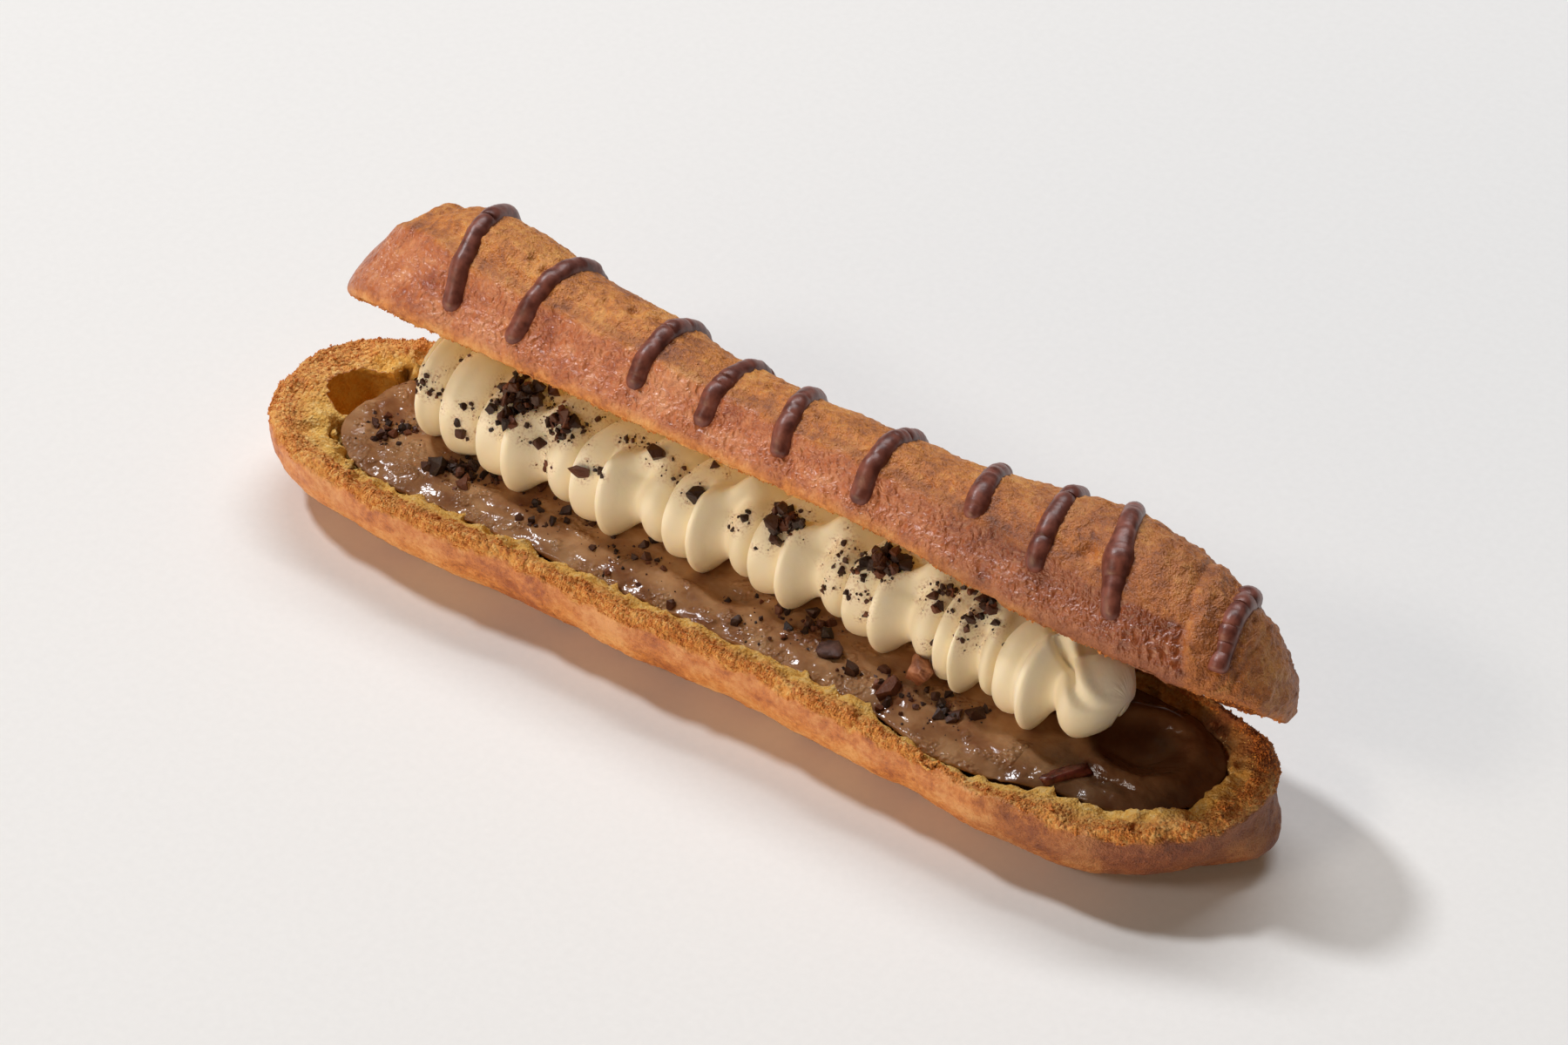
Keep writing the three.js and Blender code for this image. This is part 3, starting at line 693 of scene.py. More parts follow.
path, edges, radius = [], [], []
for number, stripe in enumerate(STRIPES):
    degrees = np.linspace(stripe["start"], stripe["finish"], STRIPE_STEPS)
    along = stripe["x"] + stripe["drift"] * np.minimum(degrees - stripe["start"], 90) / 90
    for i, (angle, x) in enumerate(zip(np.radians(degrees), along)):
        out = Vector((0, -math.cos(angle), math.sin(angle)))
        middle = Vector((x, 0, STRIPE_AXIS))
        on_lid = lid_flat.ray_cast(middle + out * 60, -out)[0] - out * 0.45
        path.append(on_lid)
        if i:
            edges.append((len(path) - 2, len(path) - 1))
    v = np.linspace(-1, 1, STRIPE_STEPS)
    body = 0.5 * STRIPE_WIDTH * np.sqrt(np.maximum(0.25, 1 - v**40))
    for place, amount in stripe.get("thick", {}).items():
        body *= 1 + amount * bump(degrees, place, 9)
    wave = np.stack([degrees / 9, np.full(STRIPE_STEPS, number * 7.0), np.zeros(STRIPE_STEPS)], 1)
    radius.append(body * (1 + 0.07 * noise(wave, 2.8) + 0.02 * noise(wave, 1, 5)) * MM)
mesh = bpy.data.meshes.new("chocolate stripes")
mesh.from_pydata(rolled(path) * MM, edges, [])
stripes = bpy.data.objects.new("chocolate stripes", mesh)
scene.collection.objects.link(stripes)
store(stripes, "radius", np.concatenate(radius))
grown(stripes, tree, sides=20, material=drizzle)
p = points_of(stripes)
move(stripes, p + normals_of(stripes) * (0.05 * rough(p, 2.4, 50, 2))[:, None])
stripes.data.shade_smooth()
print("stripes:", len(stripes.data.polygons), "faces")

# %% [markdown]
# ## The rope of cream
#
# A star-shaped nozzle laid the cream down in a coil. Cut along the pastry, every turn has the same outline: a
# sharp fin with a steep left side, a second and higher fin that sweeps down into a valley, and a round lobe.
# The coil is a grid bent by a rule, which is a job for Geometry Nodes: the outline is a curve that the tree
# samples, and each turn of the grid moves it on along the pastry. Higher up, the round lobe fades, so that a
# second outline is mixed in towards the top.

# %% Cream: outlines of one turn
CREAM_RADIUS, CREAM_START, CREAM_LENGTH, COIL_START = 8.8, -53.5, 109, -57
CREAM_END_ROUNDING = 11
FOLD_START, FOLD_SWEEP = 45, 7  # the groove in the end lobe, and how far it runs on as it comes down
TURN_WIDTHS = [5, 4.4, 6.8, 15.8, 14.4, 12.8, 14.4, 14, 8.9, 16]
ONE_FIN_TURNS = 3
CREAM_RELIEF = 1.3  # the valleys are drawn this much deeper than the outlines say
CREAM_Y, CREAM_Z = 3.4, 18.2
OUTLINES = {
    "open side": [
        (0, 0.66), (0.004, 0.74), (0.01, 0.84), (0.025, 0.905), (0.06, 0.935), (0.14, 0.925),
        (0.24, 0.88), (0.31, 0.82), (0.325, 0.86), (0.33, 0.93), (0.345, 0.98), (0.375, 1),
        (0.41, 0.985), (0.47, 0.92), (0.53, 0.83), (0.59, 0.75), (0.65, 0.71), (0.7, 0.735),
        (0.75, 0.8), (0.81, 0.845), (0.88, 0.845), (0.94, 0.79), (0.985, 0.7), (1, 0.66),
    ],
    "top": [
        (0, 0.66), (0.02, 0.78), (0.05, 0.9), (0.1, 0.93), (0.2, 0.915), (0.32, 0.87), (0.45, 0.81),
        (0.51, 0.83), (0.55, 0.92), (0.59, 0.98), (0.64, 1), (0.7, 0.95), (0.78, 0.85), (0.86, 0.76),
        (0.93, 0.7), (1, 0.66),
    ],
    "one fin": [
        (0, 0.66), (0.01, 0.76), (0.04, 0.87), (0.1, 0.93), (0.2, 0.96), (0.35, 0.95), (0.5, 0.91),
        (0.65, 0.87), (0.8, 0.81), (0.92, 0.73), (1, 0.66),
    ],
    "last": [
        (0, 0.66), (0.01, 0.8), (0.03, 0.9), (0.08, 0.935), (0.15, 0.92), (0.22, 0.87), (0.25, 0.9),
        (0.27, 0.96), (0.3, 1), (0.34, 0.985), (0.4, 0.86), (0.45, 0.73), (0.5, 0.68), (0.55, 0.76),
        (0.62, 0.9), (0.7, 0.98), (0.8, 1), (0.9, 1), (1, 1),
    ],
}


def outline_curve(name, points):
    curve = bpy.data.curves.new(name, "CURVE")
    curve.dimensions = "3D"
    line = curve.splines.new("POLY")
    smooth = spline(points, np.linspace(0, 1, 16 * len(points)))
    smooth[:, 1] = 1 - CREAM_RELIEF * (1 - smooth[:, 1])
    line.points.add(len(smooth) - 1)
    for point, (along, reach) in zip(line.points, smooth):
        point.co = (along, reach, 0, 1)
    holder = bpy.data.objects.new(name, curve)
    scene.collection.objects.link(holder)
    return holder


def set_curve(node, points):
    """Gives a Float Curve node straight stretches through the points."""
    curve = node.mapping.curves[0]
    while len(curve.points) < len(points):
        curve.points.new(0.5, 0.5)
    for point, place in zip(curve.points, points):
        point.location = place
        point.handle_type = "VECTOR"
    node.mapping.update()


# %% Cream: the coil's tree
TURNS, LINES_A_TURN, COIL_SIDES = len(TURN_WIDTHS) + 1, 50, 171
inputs = {
    **{name.capitalize(): "Object" for name in OUTLINES},
    "Lines": "Int",
    "Sides": "Int",
    "Radius": "Float",
    "Start": "Float",
    "End": "Float",
    "Middle": "Vector",
    "Material": "Material",
}
tree, given = new_tree("piped coil", inputs)

grid = add(
    tree,
    "GeometryNodeMeshGrid",
    {"Size X": 1.0, "Size Y": 1.0, "Vertices X": given["Lines"], "Vertices Y": given["Sides"]},
)
where = add(tree, "ShaderNodeSeparateXYZ", {0: add(tree, "GeometryNodeInputPosition")})
turned = add(tree, "ShaderNodeMath", {0: where.outputs["X"], 1: 0.5}, operation="ADD")
turned = add(tree, "ShaderNodeMath", {0: turned, 1: TURNS}, operation="MULTIPLY")
whole = add(tree, "ShaderNodeMath", {0: turned, 1: 1e-4}, operation="ADD")
whole = add(tree, "ShaderNodeMath", {0: whole}, operation="FLOOR")
in_turn = add(tree, "ShaderNodeMath", {0: turned, 1: whole}, operation="SUBTRACT")
round_share = add(tree, "ShaderNodeMath", {0: where.outputs["Y"], 1: 0.5}, operation="ADD")
PASSES = {"crossing": (20, 330), "upwards": (45, 85), "downwards": (200, 300)}  # degrees round the rope
passes = {}
for name, (low, high) in PASSES.items():
    span = {"Value": round_share, "From Min": low / 360, "From Max": high / 360}
    passes[name] = add(tree, "ShaderNodeMapRange", span, interpolation_type="SMOOTHSTEP")
before = add(tree, "ShaderNodeMath", {0: whole, 1: 1.0}, operation="SUBTRACT")
before = add(tree, "ShaderNodeMath", {0: before, 1: passes["crossing"]}, operation="ADD")
for name, first in (("doubled", ONE_FIN_TURNS - 0.8), ("ending", TURNS - 2.8)):
    span = {"Value": before, "From Min": first, "From Max": first + 0.6}
    passes[name] = add(tree, "ShaderNodeMapRange", span, interpolation_type="SMOOTHSTEP")
shapes = {}
for name in OUTLINES:
    shape = add(tree, "GeometryNodeObjectInfo", {"Object": given[name.capitalize()]})
    read = {"Curves": shape.outputs["Geometry"], "Factor": in_turn}
    shapes[name] = add(tree, "GeometryNodeSampleCurve", read, mode="FACTOR").outputs["Position"]
on_top = add(tree, "ShaderNodeMath", {0: passes["upwards"], 1: passes["downwards"]}, operation="SUBTRACT")
single = add(tree, "ShaderNodeMath", {0: 1.0, 1: passes["doubled"]}, operation="SUBTRACT")
mixed = shapes["open side"]
for share_of, other in ((on_top, "top"), (single, "one fin"), (passes["ending"], "last")):
    both = {0: share_of, 4: mixed, 5: shapes[other]}
    mixed = add(tree, "ShaderNodeMix", both, data_type="VECTOR").outputs[1]
outline = add(tree, "ShaderNodeSeparateXYZ", {0: mixed})

laid = np.concatenate([[0], np.cumsum(TURN_WIDTHS)])
spooled = add(tree, "ShaderNodeMath", {0: before, 1: outline.outputs["X"]}, operation="ADD")
spooled = add(tree, "ShaderNodeMath", {0: spooled, 1: TURNS - 1}, operation="DIVIDE")
spool = add(tree, "ShaderNodeFloatCurve", {"Value": spooled})
set_curve(spool, [(i / (TURNS - 1), total / laid[-1]) for i, total in enumerate(laid)])
place = {0: spool, 1: laid[-1] * MM, 2: COIL_START * MM}
place = add(tree, "ShaderNodeMath", place, operation="MULTIPLY_ADD")
place = add(tree, "ShaderNodeMath", {0: place, 1: given["Start"]}, operation="MAXIMUM")
place = add(tree, "ShaderNodeMath", {0: place, 1: given["End"]}, operation="MINIMUM")
span = {"Value": place, "From Min": given["Start"], "From Max": given["End"]}
taper = add(tree, "ShaderNodeFloatCurve", {"Value": add(tree, "ShaderNodeMapRange", span)})
at = np.concatenate([[0], np.linspace(0.0005, 0.04, 7), 1 - np.linspace(0.32, 0, 14) ** 2])
left = np.sqrt(1 - (1 - step(at * CREAM_LENGTH, -3, 4)) ** 2) * (at > 0)
right = np.sqrt(1 - np.clip(1 - (1 - at) * CREAM_LENGTH / CREAM_END_ROUNDING, 0, 1) ** 2)
set_curve(taper, list(zip(at, left * right)))
size = add(tree, "ShaderNodeMath", {0: outline.outputs["Y"], 1: taper}, operation="MULTIPLY")
size = add(tree, "ShaderNodeMath", {0: size, 1: given["Radius"]}, operation="MULTIPLY")
angle = add(tree, "ShaderNodeMath", {0: round_share, 1: 2 * math.pi}, operation="MULTIPLY")
front = add(tree, "ShaderNodeMath", {0: angle}, operation="COSINE")
front = add(tree, "ShaderNodeMath", {0: front, 1: -1.0}, operation="MULTIPLY")
across = add(tree, "ShaderNodeMath", {0: size, 1: front}, operation="MULTIPLY")
rise = add(tree, "ShaderNodeMath", {0: angle}, operation="SINE")
up = add(tree, "ShaderNodeMath", {0: size, 1: rise}, operation="MULTIPLY")
point = add(tree, "ShaderNodeCombineXYZ", {"X": place, "Y": across, "Z": up})
moved = add(tree, "ShaderNodeVectorMath", {0: point, 1: given["Middle"]}, operation="ADD")
bent = add(tree, "GeometryNodeSetPosition", {"Geometry": grid, "Position": moved})
merged = add(tree, "GeometryNodeMergeByDistance", {"Geometry": bent, "Distance": 0.002 * MM})
close_tree(tree, merged, given["Material"])

# %% Cream: the rope
whipped = bpy.data.materials.new("whipped cream")
curves = {name.replace(" ", "_"): outline_curve(name, points) for name, points in OUTLINES.items()}
cream = grown(
    add_piece("piped cream", np.zeros((1, 3)), []),
    tree,
    **curves,
    lines=TURNS * LINES_A_TURN + 1,
    sides=COIL_SIDES,
    radius=CREAM_RADIUS * MM,
    start=CREAM_START * MM,
    end=(CREAM_START + CREAM_LENGTH) * MM,
    middle=(0, CREAM_Y * MM, CREAM_Z * MM),
    material=whipped,
)
for helper in curves.values():
    bpy.data.objects.remove(helper)
weld(cream)
p = points_of(cream)
p[:, 1] += 0.8 * np.sin(0.075 * p[:, 0] + 0.6) + 1.4 * bump(p[:, 0], CREAM_START, 12)
move(cream, p)
n = normals_of(cream)
up = np.degrees(np.arctan2(p[:, 2] - CREAM_Z, CREAM_Y - p[:, 1]))
from_fold = p[:, 0] - (FOLD_START + FOLD_SWEEP * (80 - up) / 60)
fold = 0.5 * bump(from_fold, 1.9, 1.3) - 1.3 * bump(from_fold, 0, 0.9)
fold *= step(up, 5, 40) * (1 - step(up, 90, 110))
p += n * (0.16 * noise(p, (6, 6, 6), 2) + 0.03 * noise(p, 1.6, 5) + fold)[:, None]
move(cream, p)
print("cream:", len(cream.data.polygons), "faces")

# %% [markdown]
# ## Crumbs
#
# Chopped dark chocolate breaks into flat-sided shards. A few kinds are made as the convex hulls of random
# points, and one Geometry Nodes tree puts them on given places, each turned and sized at random. Big ones lie
# in the places of the model's own crumbs. Round them lies fine dust.

# %% Kinds of crumb
KINDS = 8
random = np.random.default_rng(11)


def hull(name, stretch, points, fine=1, roundness=0.0):
    """A shard: the convex hull of random points, in a box or on a ball, with each side broken up a little."""
    form = bmesh.new()
    in_box = random.uniform(-0.5, 0.5, (points, 3))
    on_ball = 0.5 * in_box / np.linalg.norm(in_box, axis=1, keepdims=True)
    for point in (in_box + roundness * (on_ball - in_box)) * stretch:
        form.verts.new(point * MM)
    found = bmesh.ops.convex_hull(form, input=form.verts)
    spare = [v for v in found["geom_interior"] if isinstance(v, bmesh.types.BMVert)]
    bmesh.ops.delete(form, geom=spare, context="VERTS")
    if fine:
        bmesh.ops.subdivide_edges(form, edges=form.edges, cuts=fine, use_grid_fill=True)
    for v in form.verts:
        v.co *= 1 + random.uniform(-0.05, 0.05)
    bmesh.ops.recalc_face_normals(form, faces=form.faces)
    mesh = bpy.data.meshes.new(name)
    form.to_mesh(mesh)
    form.free()
    return bpy.data.objects.new(name, mesh)


def kinds(name, stretch, points, fine=1):
    group = bpy.data.collections.new(name)
    for i in range(KINDS):
        group.objects.link(hull(f"{name} {i}", stretch, points, fine, (i % 4) / 3))
    return group


inputs = {"Kinds": "Collection", "Last kind": "Int", "Seed": "Int", "Material": "Material"}
tree, given = new_tree("strewn", inputs)
pick = add(tree, "GeometryNodeCollectionInfo", {"Collection": given["Kinds"], "Separate Children": True})
full_turn = {1: (2 * math.pi,) * 3, "Seed": given["Seed"]}
turn = add(tree, "FunctionNodeRandomValue", full_turn, data_type="FLOAT_VECTOR")
any_kind = {4: 0, 5: given["Last kind"], "Seed": given["Seed"]}
which = add(tree, "FunctionNodeRandomValue", any_kind, data_type="INT")
wanted = add(tree, "GeometryNodeInputNamedAttribute", {"Name": "size"}, data_type="FLOAT")
laid_out = add(
    tree,
    "GeometryNodeInstanceOnPoints",
    {
        "Points": add(tree, "GeometryNodeMeshToPoints", {"Mesh": given["Geometry"]}),
        "Instance": pick,
        "Pick Instance": True,
        "Instance Index": which.outputs[2],
        "Rotation": turn.outputs[0],
        "Scale": wanted.outputs[0],
    },
)
close_tree(tree, laid_out, given["Material"])
strewn_tree = tree


def strew(name, places, sizes, tints, group, seed, material):
    """Shards on given places, each with its size and a tint that its material reads."""
    piece = add_piece(name, np.array(places), [])
    store(piece, "size", sizes)
    store(piece, "tint", tints)
    return grown(piece, strewn_tree, kinds=group, last_kind=KINDS - 1, seed=seed, material=material)


def surface_of(piece):
    polygons = [f.vertices[:] for f in piece.data.polygons]
    return BVHTree.FromPolygons([Vector(v) for v in points_of(piece)], polygons)


# %% Places of the crumbs
# Single chips: where along the pastry, degrees up round the rope or mm to the back, and size in mm.
CREAM_CHIPS = [
    (-50.3, 46, 1.1), (-50.6, 39, 1), (-46.7, 76, 1), (-49.6, 29, 0.8), (-48.6, 26, 0.7),
    (-43.5, 33, 1.3), (-43.8, 13, 1.4), (-43.4, 1, 2.1), (-31.3, 29, 2.3), (-23, 28, 3),
    (-21, 33, 1.5), (-29.7, 3, 1.3), (-25.9, 62, 0.9), (-24.1, 64, 1.4), (-25.5, 85, 1.1),
    (-23.2, 83, 0.9), (-14.6, 70, 3.3), (-19.7, 72, 1), (-18.8, 74, 0.8), (-16.3, 77, 0.8),
    (-9.6, 70, 1.1), (-11.3, 56, 0.9), (-7, 50, 3.2), (-11.1, 75, 1), (-6.9, 85, 1.2), (0.3, 49, 1.5),
    (-0.8, 32, 0.8), (5.7, 40, 2.4), (3.4, 75, 1.2), (14, 70, 1.3), (17.6, 67, 1.2), (15.4, 41, 1.3),
    (19, 46, 1.1), (17.5, 24, 1.2), (13.7, 13, 1), (20.2, 22, 0.9), (20.5, 6, 1.3), (28.7, 57, 1.7),
    (29.5, 46, 1.6), (30, 72, 1.4), (32.9, 75, 1.3), (34.8, 51, 1.7), (34.8, 42, 1.3), (34.8, 31, 1),
    (30, 3, 1.2),
]
CUSTARD_CHIPS = [
    (-60.9, 8.3, 1.5), (-54, -0.4, 1.3), (-58, -1.2, 1.2), (-58.6, -2.9, 1.1), (-54.8, -0.9, 1.6),
    (-57.3, -5, 1.3), (-46.5, -5.5, 3.6), (-47.4, -6.3, 2.5), (-45.7, -2.8, 1.4), (-40.8, -2.6, 1.5),
    (-41.6, -6.3, 2.2), (-32.7, -0.8, 1.6), (-27, -2.5, 1.8), (-23.1, -2.3, 1.5), (-31.4, -7.4, 1.6),
    (-20.2, -6.4, 1.4), (-14.9, -1.9, 2), (-5.7, -9.2, 1.8), (-10, -4.6, 1.4), (0, -4.5, 1.6),
    (3.4, -7.4, 2), (6.8, -2.5, 1.8), (14.5, -3, 2.6), (20.5, -6.6, 3.2), (24.1, -4.1, 2.3),
    (26.3, -6.9, 4), (32, -4.5, 1.8), (37.6, -4.2, 3), (38.3, -2.8, 1.4), (33.1, -3.1, 1.6),
    (34.2, -6.9, 2.1),
]
# Piles: the same two places, how far they reach, how many chips, their size, and how high they are heaped.
CREAM_PILES = [
    (-35.8, 63, 4.4, 60, 1.8, 1.6), (-28.8, 58, 2.3, 20, 1.7, 1), (6.3, 64, 2.3, 16, 1.9, 0.9),
    (4.8, 66, 1.8, 8, 1.4, 0.5), (21, 70, 2.8, 26, 2.1, 1.4), (36, 68, 3.2, 16, 1.6, 0.9),
    (17, 55, 4, 12, 1.1, 0.2), (-49.5, 35, 3, 5, 0.8, 0.1), (30, 66, 3, 7, 1.2, 0.3),
]
CUSTARD_PILES = [
    (-55.5, -2.6, 4, 16, 1.6, 0.6), (-43.5, -3.5, 2.4, 20, 1.7, 0.7), (-38.5, -2, 2, 7, 1.4, 0.3),
    (-29, -4, 4, 9, 1.3, 0.3), (28, -7.5, 4, 12, 1.7, 0.5), (35, -6.5, 3, 10, 1.6, 0.4),
    (-15, -4.5, 5, 9, 1.2, 0.3), (8, -5, 5, 9, 1.2, 0.3), (12, -2, 2, 8, 1.7, 0.5),
]
SPECKS_FOR_EACH = 5  # specks of dust round each chip


def spread(amount):
    return amount * (random.random() + random.random() - 1)


def on_custard(x, y):
    return custard_surface.ray_cast(Vector((x, y, 60)), Vector((0, 0, -1)))[0], Vector((0, 0, 1))


def on_cream(x, degrees):
    out = Vector((0, -math.cos(math.radians(degrees)), math.sin(math.radians(degrees))))
    return cream_surface.ray_cast(Vector((x, CREAM_Y, CREAM_Z)) + out * 40, -out)[0], out


custard_surface, cream_surface = surface_of(custard), surface_of(cream)
DEGREES_PER_MM = 360 / (2 * math.pi * CREAM_RADIUS)
CARRIERS = {
    "custard": (on_custard, 1, CUSTARD_CHIPS, CUSTARD_PILES),
    "cream": (on_cream, DEGREES_PER_MM, CREAM_CHIPS, CREAM_PILES),
}
places = {}
for carrier, (find, per_mm, chips, piles) in CARRIERS.items():
    found = []
    for x, across, size in chips:
        found.append((find(x, across), 0, size))
    for x, across, reach, count, size, heap in piles:
        for i in range(count):
            spot = find(x + spread(reach), across + spread(reach) * per_mm)
            found.append((spot, heap * random.random() ** 2, size * random.uniform(0.5, 1.3)))
    for x, across, size, *more in chips + piles:
        count, reach = (more[0], size * 1.5) if more else (1, 2.5)
        for i in range(round(SPECKS_FOR_EACH * count**0.8)):
            spot = find(x + spread(reach), across + spread(reach) * per_mm)
            found.append((spot, 0, 0.2 + 0.7 * random.random() ** 3))
    places[carrier] = np.array([(*(spot + out * high), size) for (spot, out), high, size in found if spot])

cocoa = bpy.data.materials.new("chopped dark chocolate")
shards = kinds("shards", (1.05, 0.9, 0.75), 16)
crumbs = {}
for seed, (name, found) in enumerate(places.items()):
    tints = random.random(len(found))
    crumbs[name] = strew(f"crumbs_on_{name}", found[:, :3], found[:, 3], tints, shards, seed, cocoa)
print({name: len(piece.data.polygons) for name, piece in crumbs.items()}, "faces of crumbs")

# %% [markdown]
# Three pieces on the custard aren't dark chips: a thick flake with a purple bloom, a light brown nugget of
# milk chocolate, and a stick. Each is one shard with a finer skin, pressed a little into the custard.

# %% Flake, nugget and stick
LARGE = {
    "flake": dict(x=16.3, y=-5.2, size=(3.9, 3.5, 1.5), turn=25, sunk=-0.3),
    "nugget": dict(x=29.5, y=-4.1, size=(4.4, 4, 4), turn=0, sunk=-1.2),
    "stick": dict(x=52.2, y=-6.6, size=(7, 1.9, 1.5), turn=50, sunk=0.1),
}
large = {}
for name, kind in LARGE.items():
    piece = hull(f"chocolate_{name}", kind["size"], 26, 3)
    scene.collection.objects.link(piece)
    p = points_of(piece)
    p += normals_of(piece) * (0.14 * rough(p, 1.1, 60, 2))[:, None]
    c, s = math.cos(math.radians(kind["turn"])), math.sin(math.radians(kind["turn"]))
    p = p @ [[c, s, 0], [-s, c, 0], [0, 0, 1]]
    p += np.array(on_custard(kind["x"], kind["y"])[0]) + (0, 0, kind["size"][2] / 2 - 0.4 - kind["sunk"])
    move(piece, p)
    piece.data.shade_smooth()
    large[name] = piece
print({name: len(piece.data.polygons) for name, piece in large.items()})

# %% [markdown]
# ## Torn crumb
#
# Where the shell was torn, its crumb stands up in grains and flakes, toasted near the crust and pale inside.
# They are small plain shards, sunk in the torn face, and their tint says how toasted they are.

# %% Grains of crumb
grain_kinds = kinds("grains", (1, 0.9, 0.7), 9, fine=0)
baked = bpy.data.materials.new("torn choux crumb")
grains = []
for piece, amount, name in ((base, 8000, "flakes_on_base"), (lid, 2600, "flakes_on_lid")):
    p, cut, share = points_of(piece), stored(piece, "cut"), stored(piece, "share")
    likely = 0.04 + 0.96 * step(share, 0.77, 0.87)
    edge = (cut > 0.5) & (share > 0.66) & (random.random(len(p)) < likely)
    edge &= noise(p, (6, 3, 3), 36) > -0.2
    if piece is base:
        edge &= stored(base, "bubble") < 0.5
    chosen = random.choice(np.flatnonzero(edge), amount, replace=False)
    sizes = 0.14 + 0.36 * random.random(amount) ** 2 + 0.4 * random.random(amount) ** 9
    tints = step(share[chosen] + 0.05 * noise(p[chosen], 2.5, 41), 0.74, 0.88) + 0.3 * random.random(amount)
    grains.append(strew(name, p[chosen], sizes, np.minimum(tints, 1), grain_kinds, 5, baked))
for group in (shards, grain_kinds):
    for kind in list(group.objects):
        bpy.data.objects.remove(kind)
    bpy.data.collections.remove(group)
print("grains:", [len(piece.data.polygons) for piece in grains])

# %% [markdown]
# ## Baked choux
#
# The crust is egg-washed dough, browned by the oven: golden where it is thin, reddish brown where the glaze
# is tight. It darkens towards the right end, partly from over-baking and partly as painted shade where less
# light reaches. Its gloss follows the glaze. Torn crumb is pale yellow inside and toasted at the rim; at the
# back of the right end, under the lid, it is darkened as painted shadow of the lid. The pieces carry
# attributes that say where each finish goes, so that one material serves both halves. It layers one colour
# on the next, each through its own attribute.

# %% Where each finish goes
for piece in (base, lid):
    p, cut, share = points_of(piece), stored(piece, "cut"), stored(piece, "share")
    x, y, z = p.T
    wandering = share + 0.03 * noise(p, 2.2, 41) + 0.02 * noise(p, 0.8, 42)
    patches = 0.5 + 0.6 * rough(p, 6, 43, 2)
    masks = {"pale": cut * (1 - step(wandering, 0.76, 0.86)), "toast": cut * step(wandering, 0.74, 0.84)}
    if piece is lid:
        crown, over_edge = stored(lid, "crown"), stored(lid, "height")
        masks["crown"] = crown
        masks["glaze"] = (1 - crown) * (1 - cut) * step(over_edge + 0.5 * noise(p, 3, 44), 0, 1.8)
        # Painted shade along the crease above the ridge, and darker at the left tip.
        masks["dark"] = 0.3 * stored(lid, "crease") + 0.4 * (1 - step(x, -72, -56))
        # Darker towards the right end: partly over-baked, partly painted shade where the light falls off.
        masks["dark"] += 0.95 * step(x + 8 * (patches - 0.5), 8, 56) * (1 - 0.6 * crown)
    else:
        outside = 1 - cut
        masks["crown"] = np.zeros(len(p))
        masks["glaze"] = 0.4 * outside * step(z + 2 * noise(p, 6, 45), 6, 10) * (1 - step(x, 30, 55))
        # Darker towards the right end, partly over-baked and partly painted shade; darker at the foot too.
        masks["dark"] = outside * (0.85 * step(x + 6 * (patches - 0.5), 32, 72) + 0.45 * (1 - step(z, 0, 2)))
        # Painted shadow of the lid: the torn face at the back of the right end is darkened.
        masks["dark"] += 0.75 * cut * step(x, 50, 66) * step(y, 2, 9)
        masks["bubble"] = stored(base, "bubble")
    masks["dark"] = np.clip(masks["dark"] * (0.7 + 0.6 * patches), 0, 0.9)
    masks.setdefault("bubble", np.zeros(len(p)))
    for name, values in masks.items():
        store(piece, name, values)

# %% Material of the crust
egg_washed = {"IOR": 1.5, "Specular IOR Level": 0.75}
crust, tree, surface, place = set_up("egg-washed choux crust", egg_washed)
lengthwise = add(tree, "ShaderNodeMapping", {"Vector": place, "Scale": (0.75, 1, 1)})
LUMPS = {  # size in mm, octaves, roughness of the octaves
    "slow": (place, 9, 3.0, 0.5),
    "blotch": (place, 2.4, 3.0, 0.6),
    "grain": (place, 0.8, 4.0, 0.65),
    "fine": (place, 0.3, 2.0, 0.5),
    "fibre": (lengthwise, 0.9, 4.0, 0.6),
}
lumps = {}
for name, (where, size, octaves, roughness) in LUMPS.items():
    scale = {"Vector": where, "Scale": 1 / (size * MM), "Detail": octaves, "Roughness": roughness}
    lumps[name] = add(tree, "ShaderNodeTexNoise", scale)
cells = add(tree, "ShaderNodeTexVoronoi", {"Vector": place, "Scale": 1 / (0.5 * MM)})
leather = add(
    tree,
    "ShaderNodeTexNoise",
    {"Vector": place, "Scale": 1 / (1.4 * MM), "Detail": 3.0, "Roughness": 0.55, "Offset": 1.0, "Gain": 1.5},
    noise_type="RIDGED_MULTIFRACTAL",
)
masks = {
    name: add(tree, "ShaderNodeAttribute", attribute_name=name).outputs["Fac"]
    for name in ("glaze", "crown", "toast", "pale", "bubble", "dark")
}
tone = add(tree, "ShaderNodeMath", {0: lumps["slow"], 1: 0.4}, operation="MULTIPLY")
for name, amount in (("blotch", 0.3), ("grain", 0.3)):
    tone = add(tree, "ShaderNodeMath", {0: lumps[name], 1: amount, 2: tone}, operation="MULTIPLY_ADD")
fibred = add(tree, "ShaderNodeMix", {0: 0.25, 2: tone, 3: lumps["fibre"]})
speckled = add(tree, "ShaderNodeMix", {0: 0.5, 2: lumps["grain"], 3: cells.outputs["Color"]})
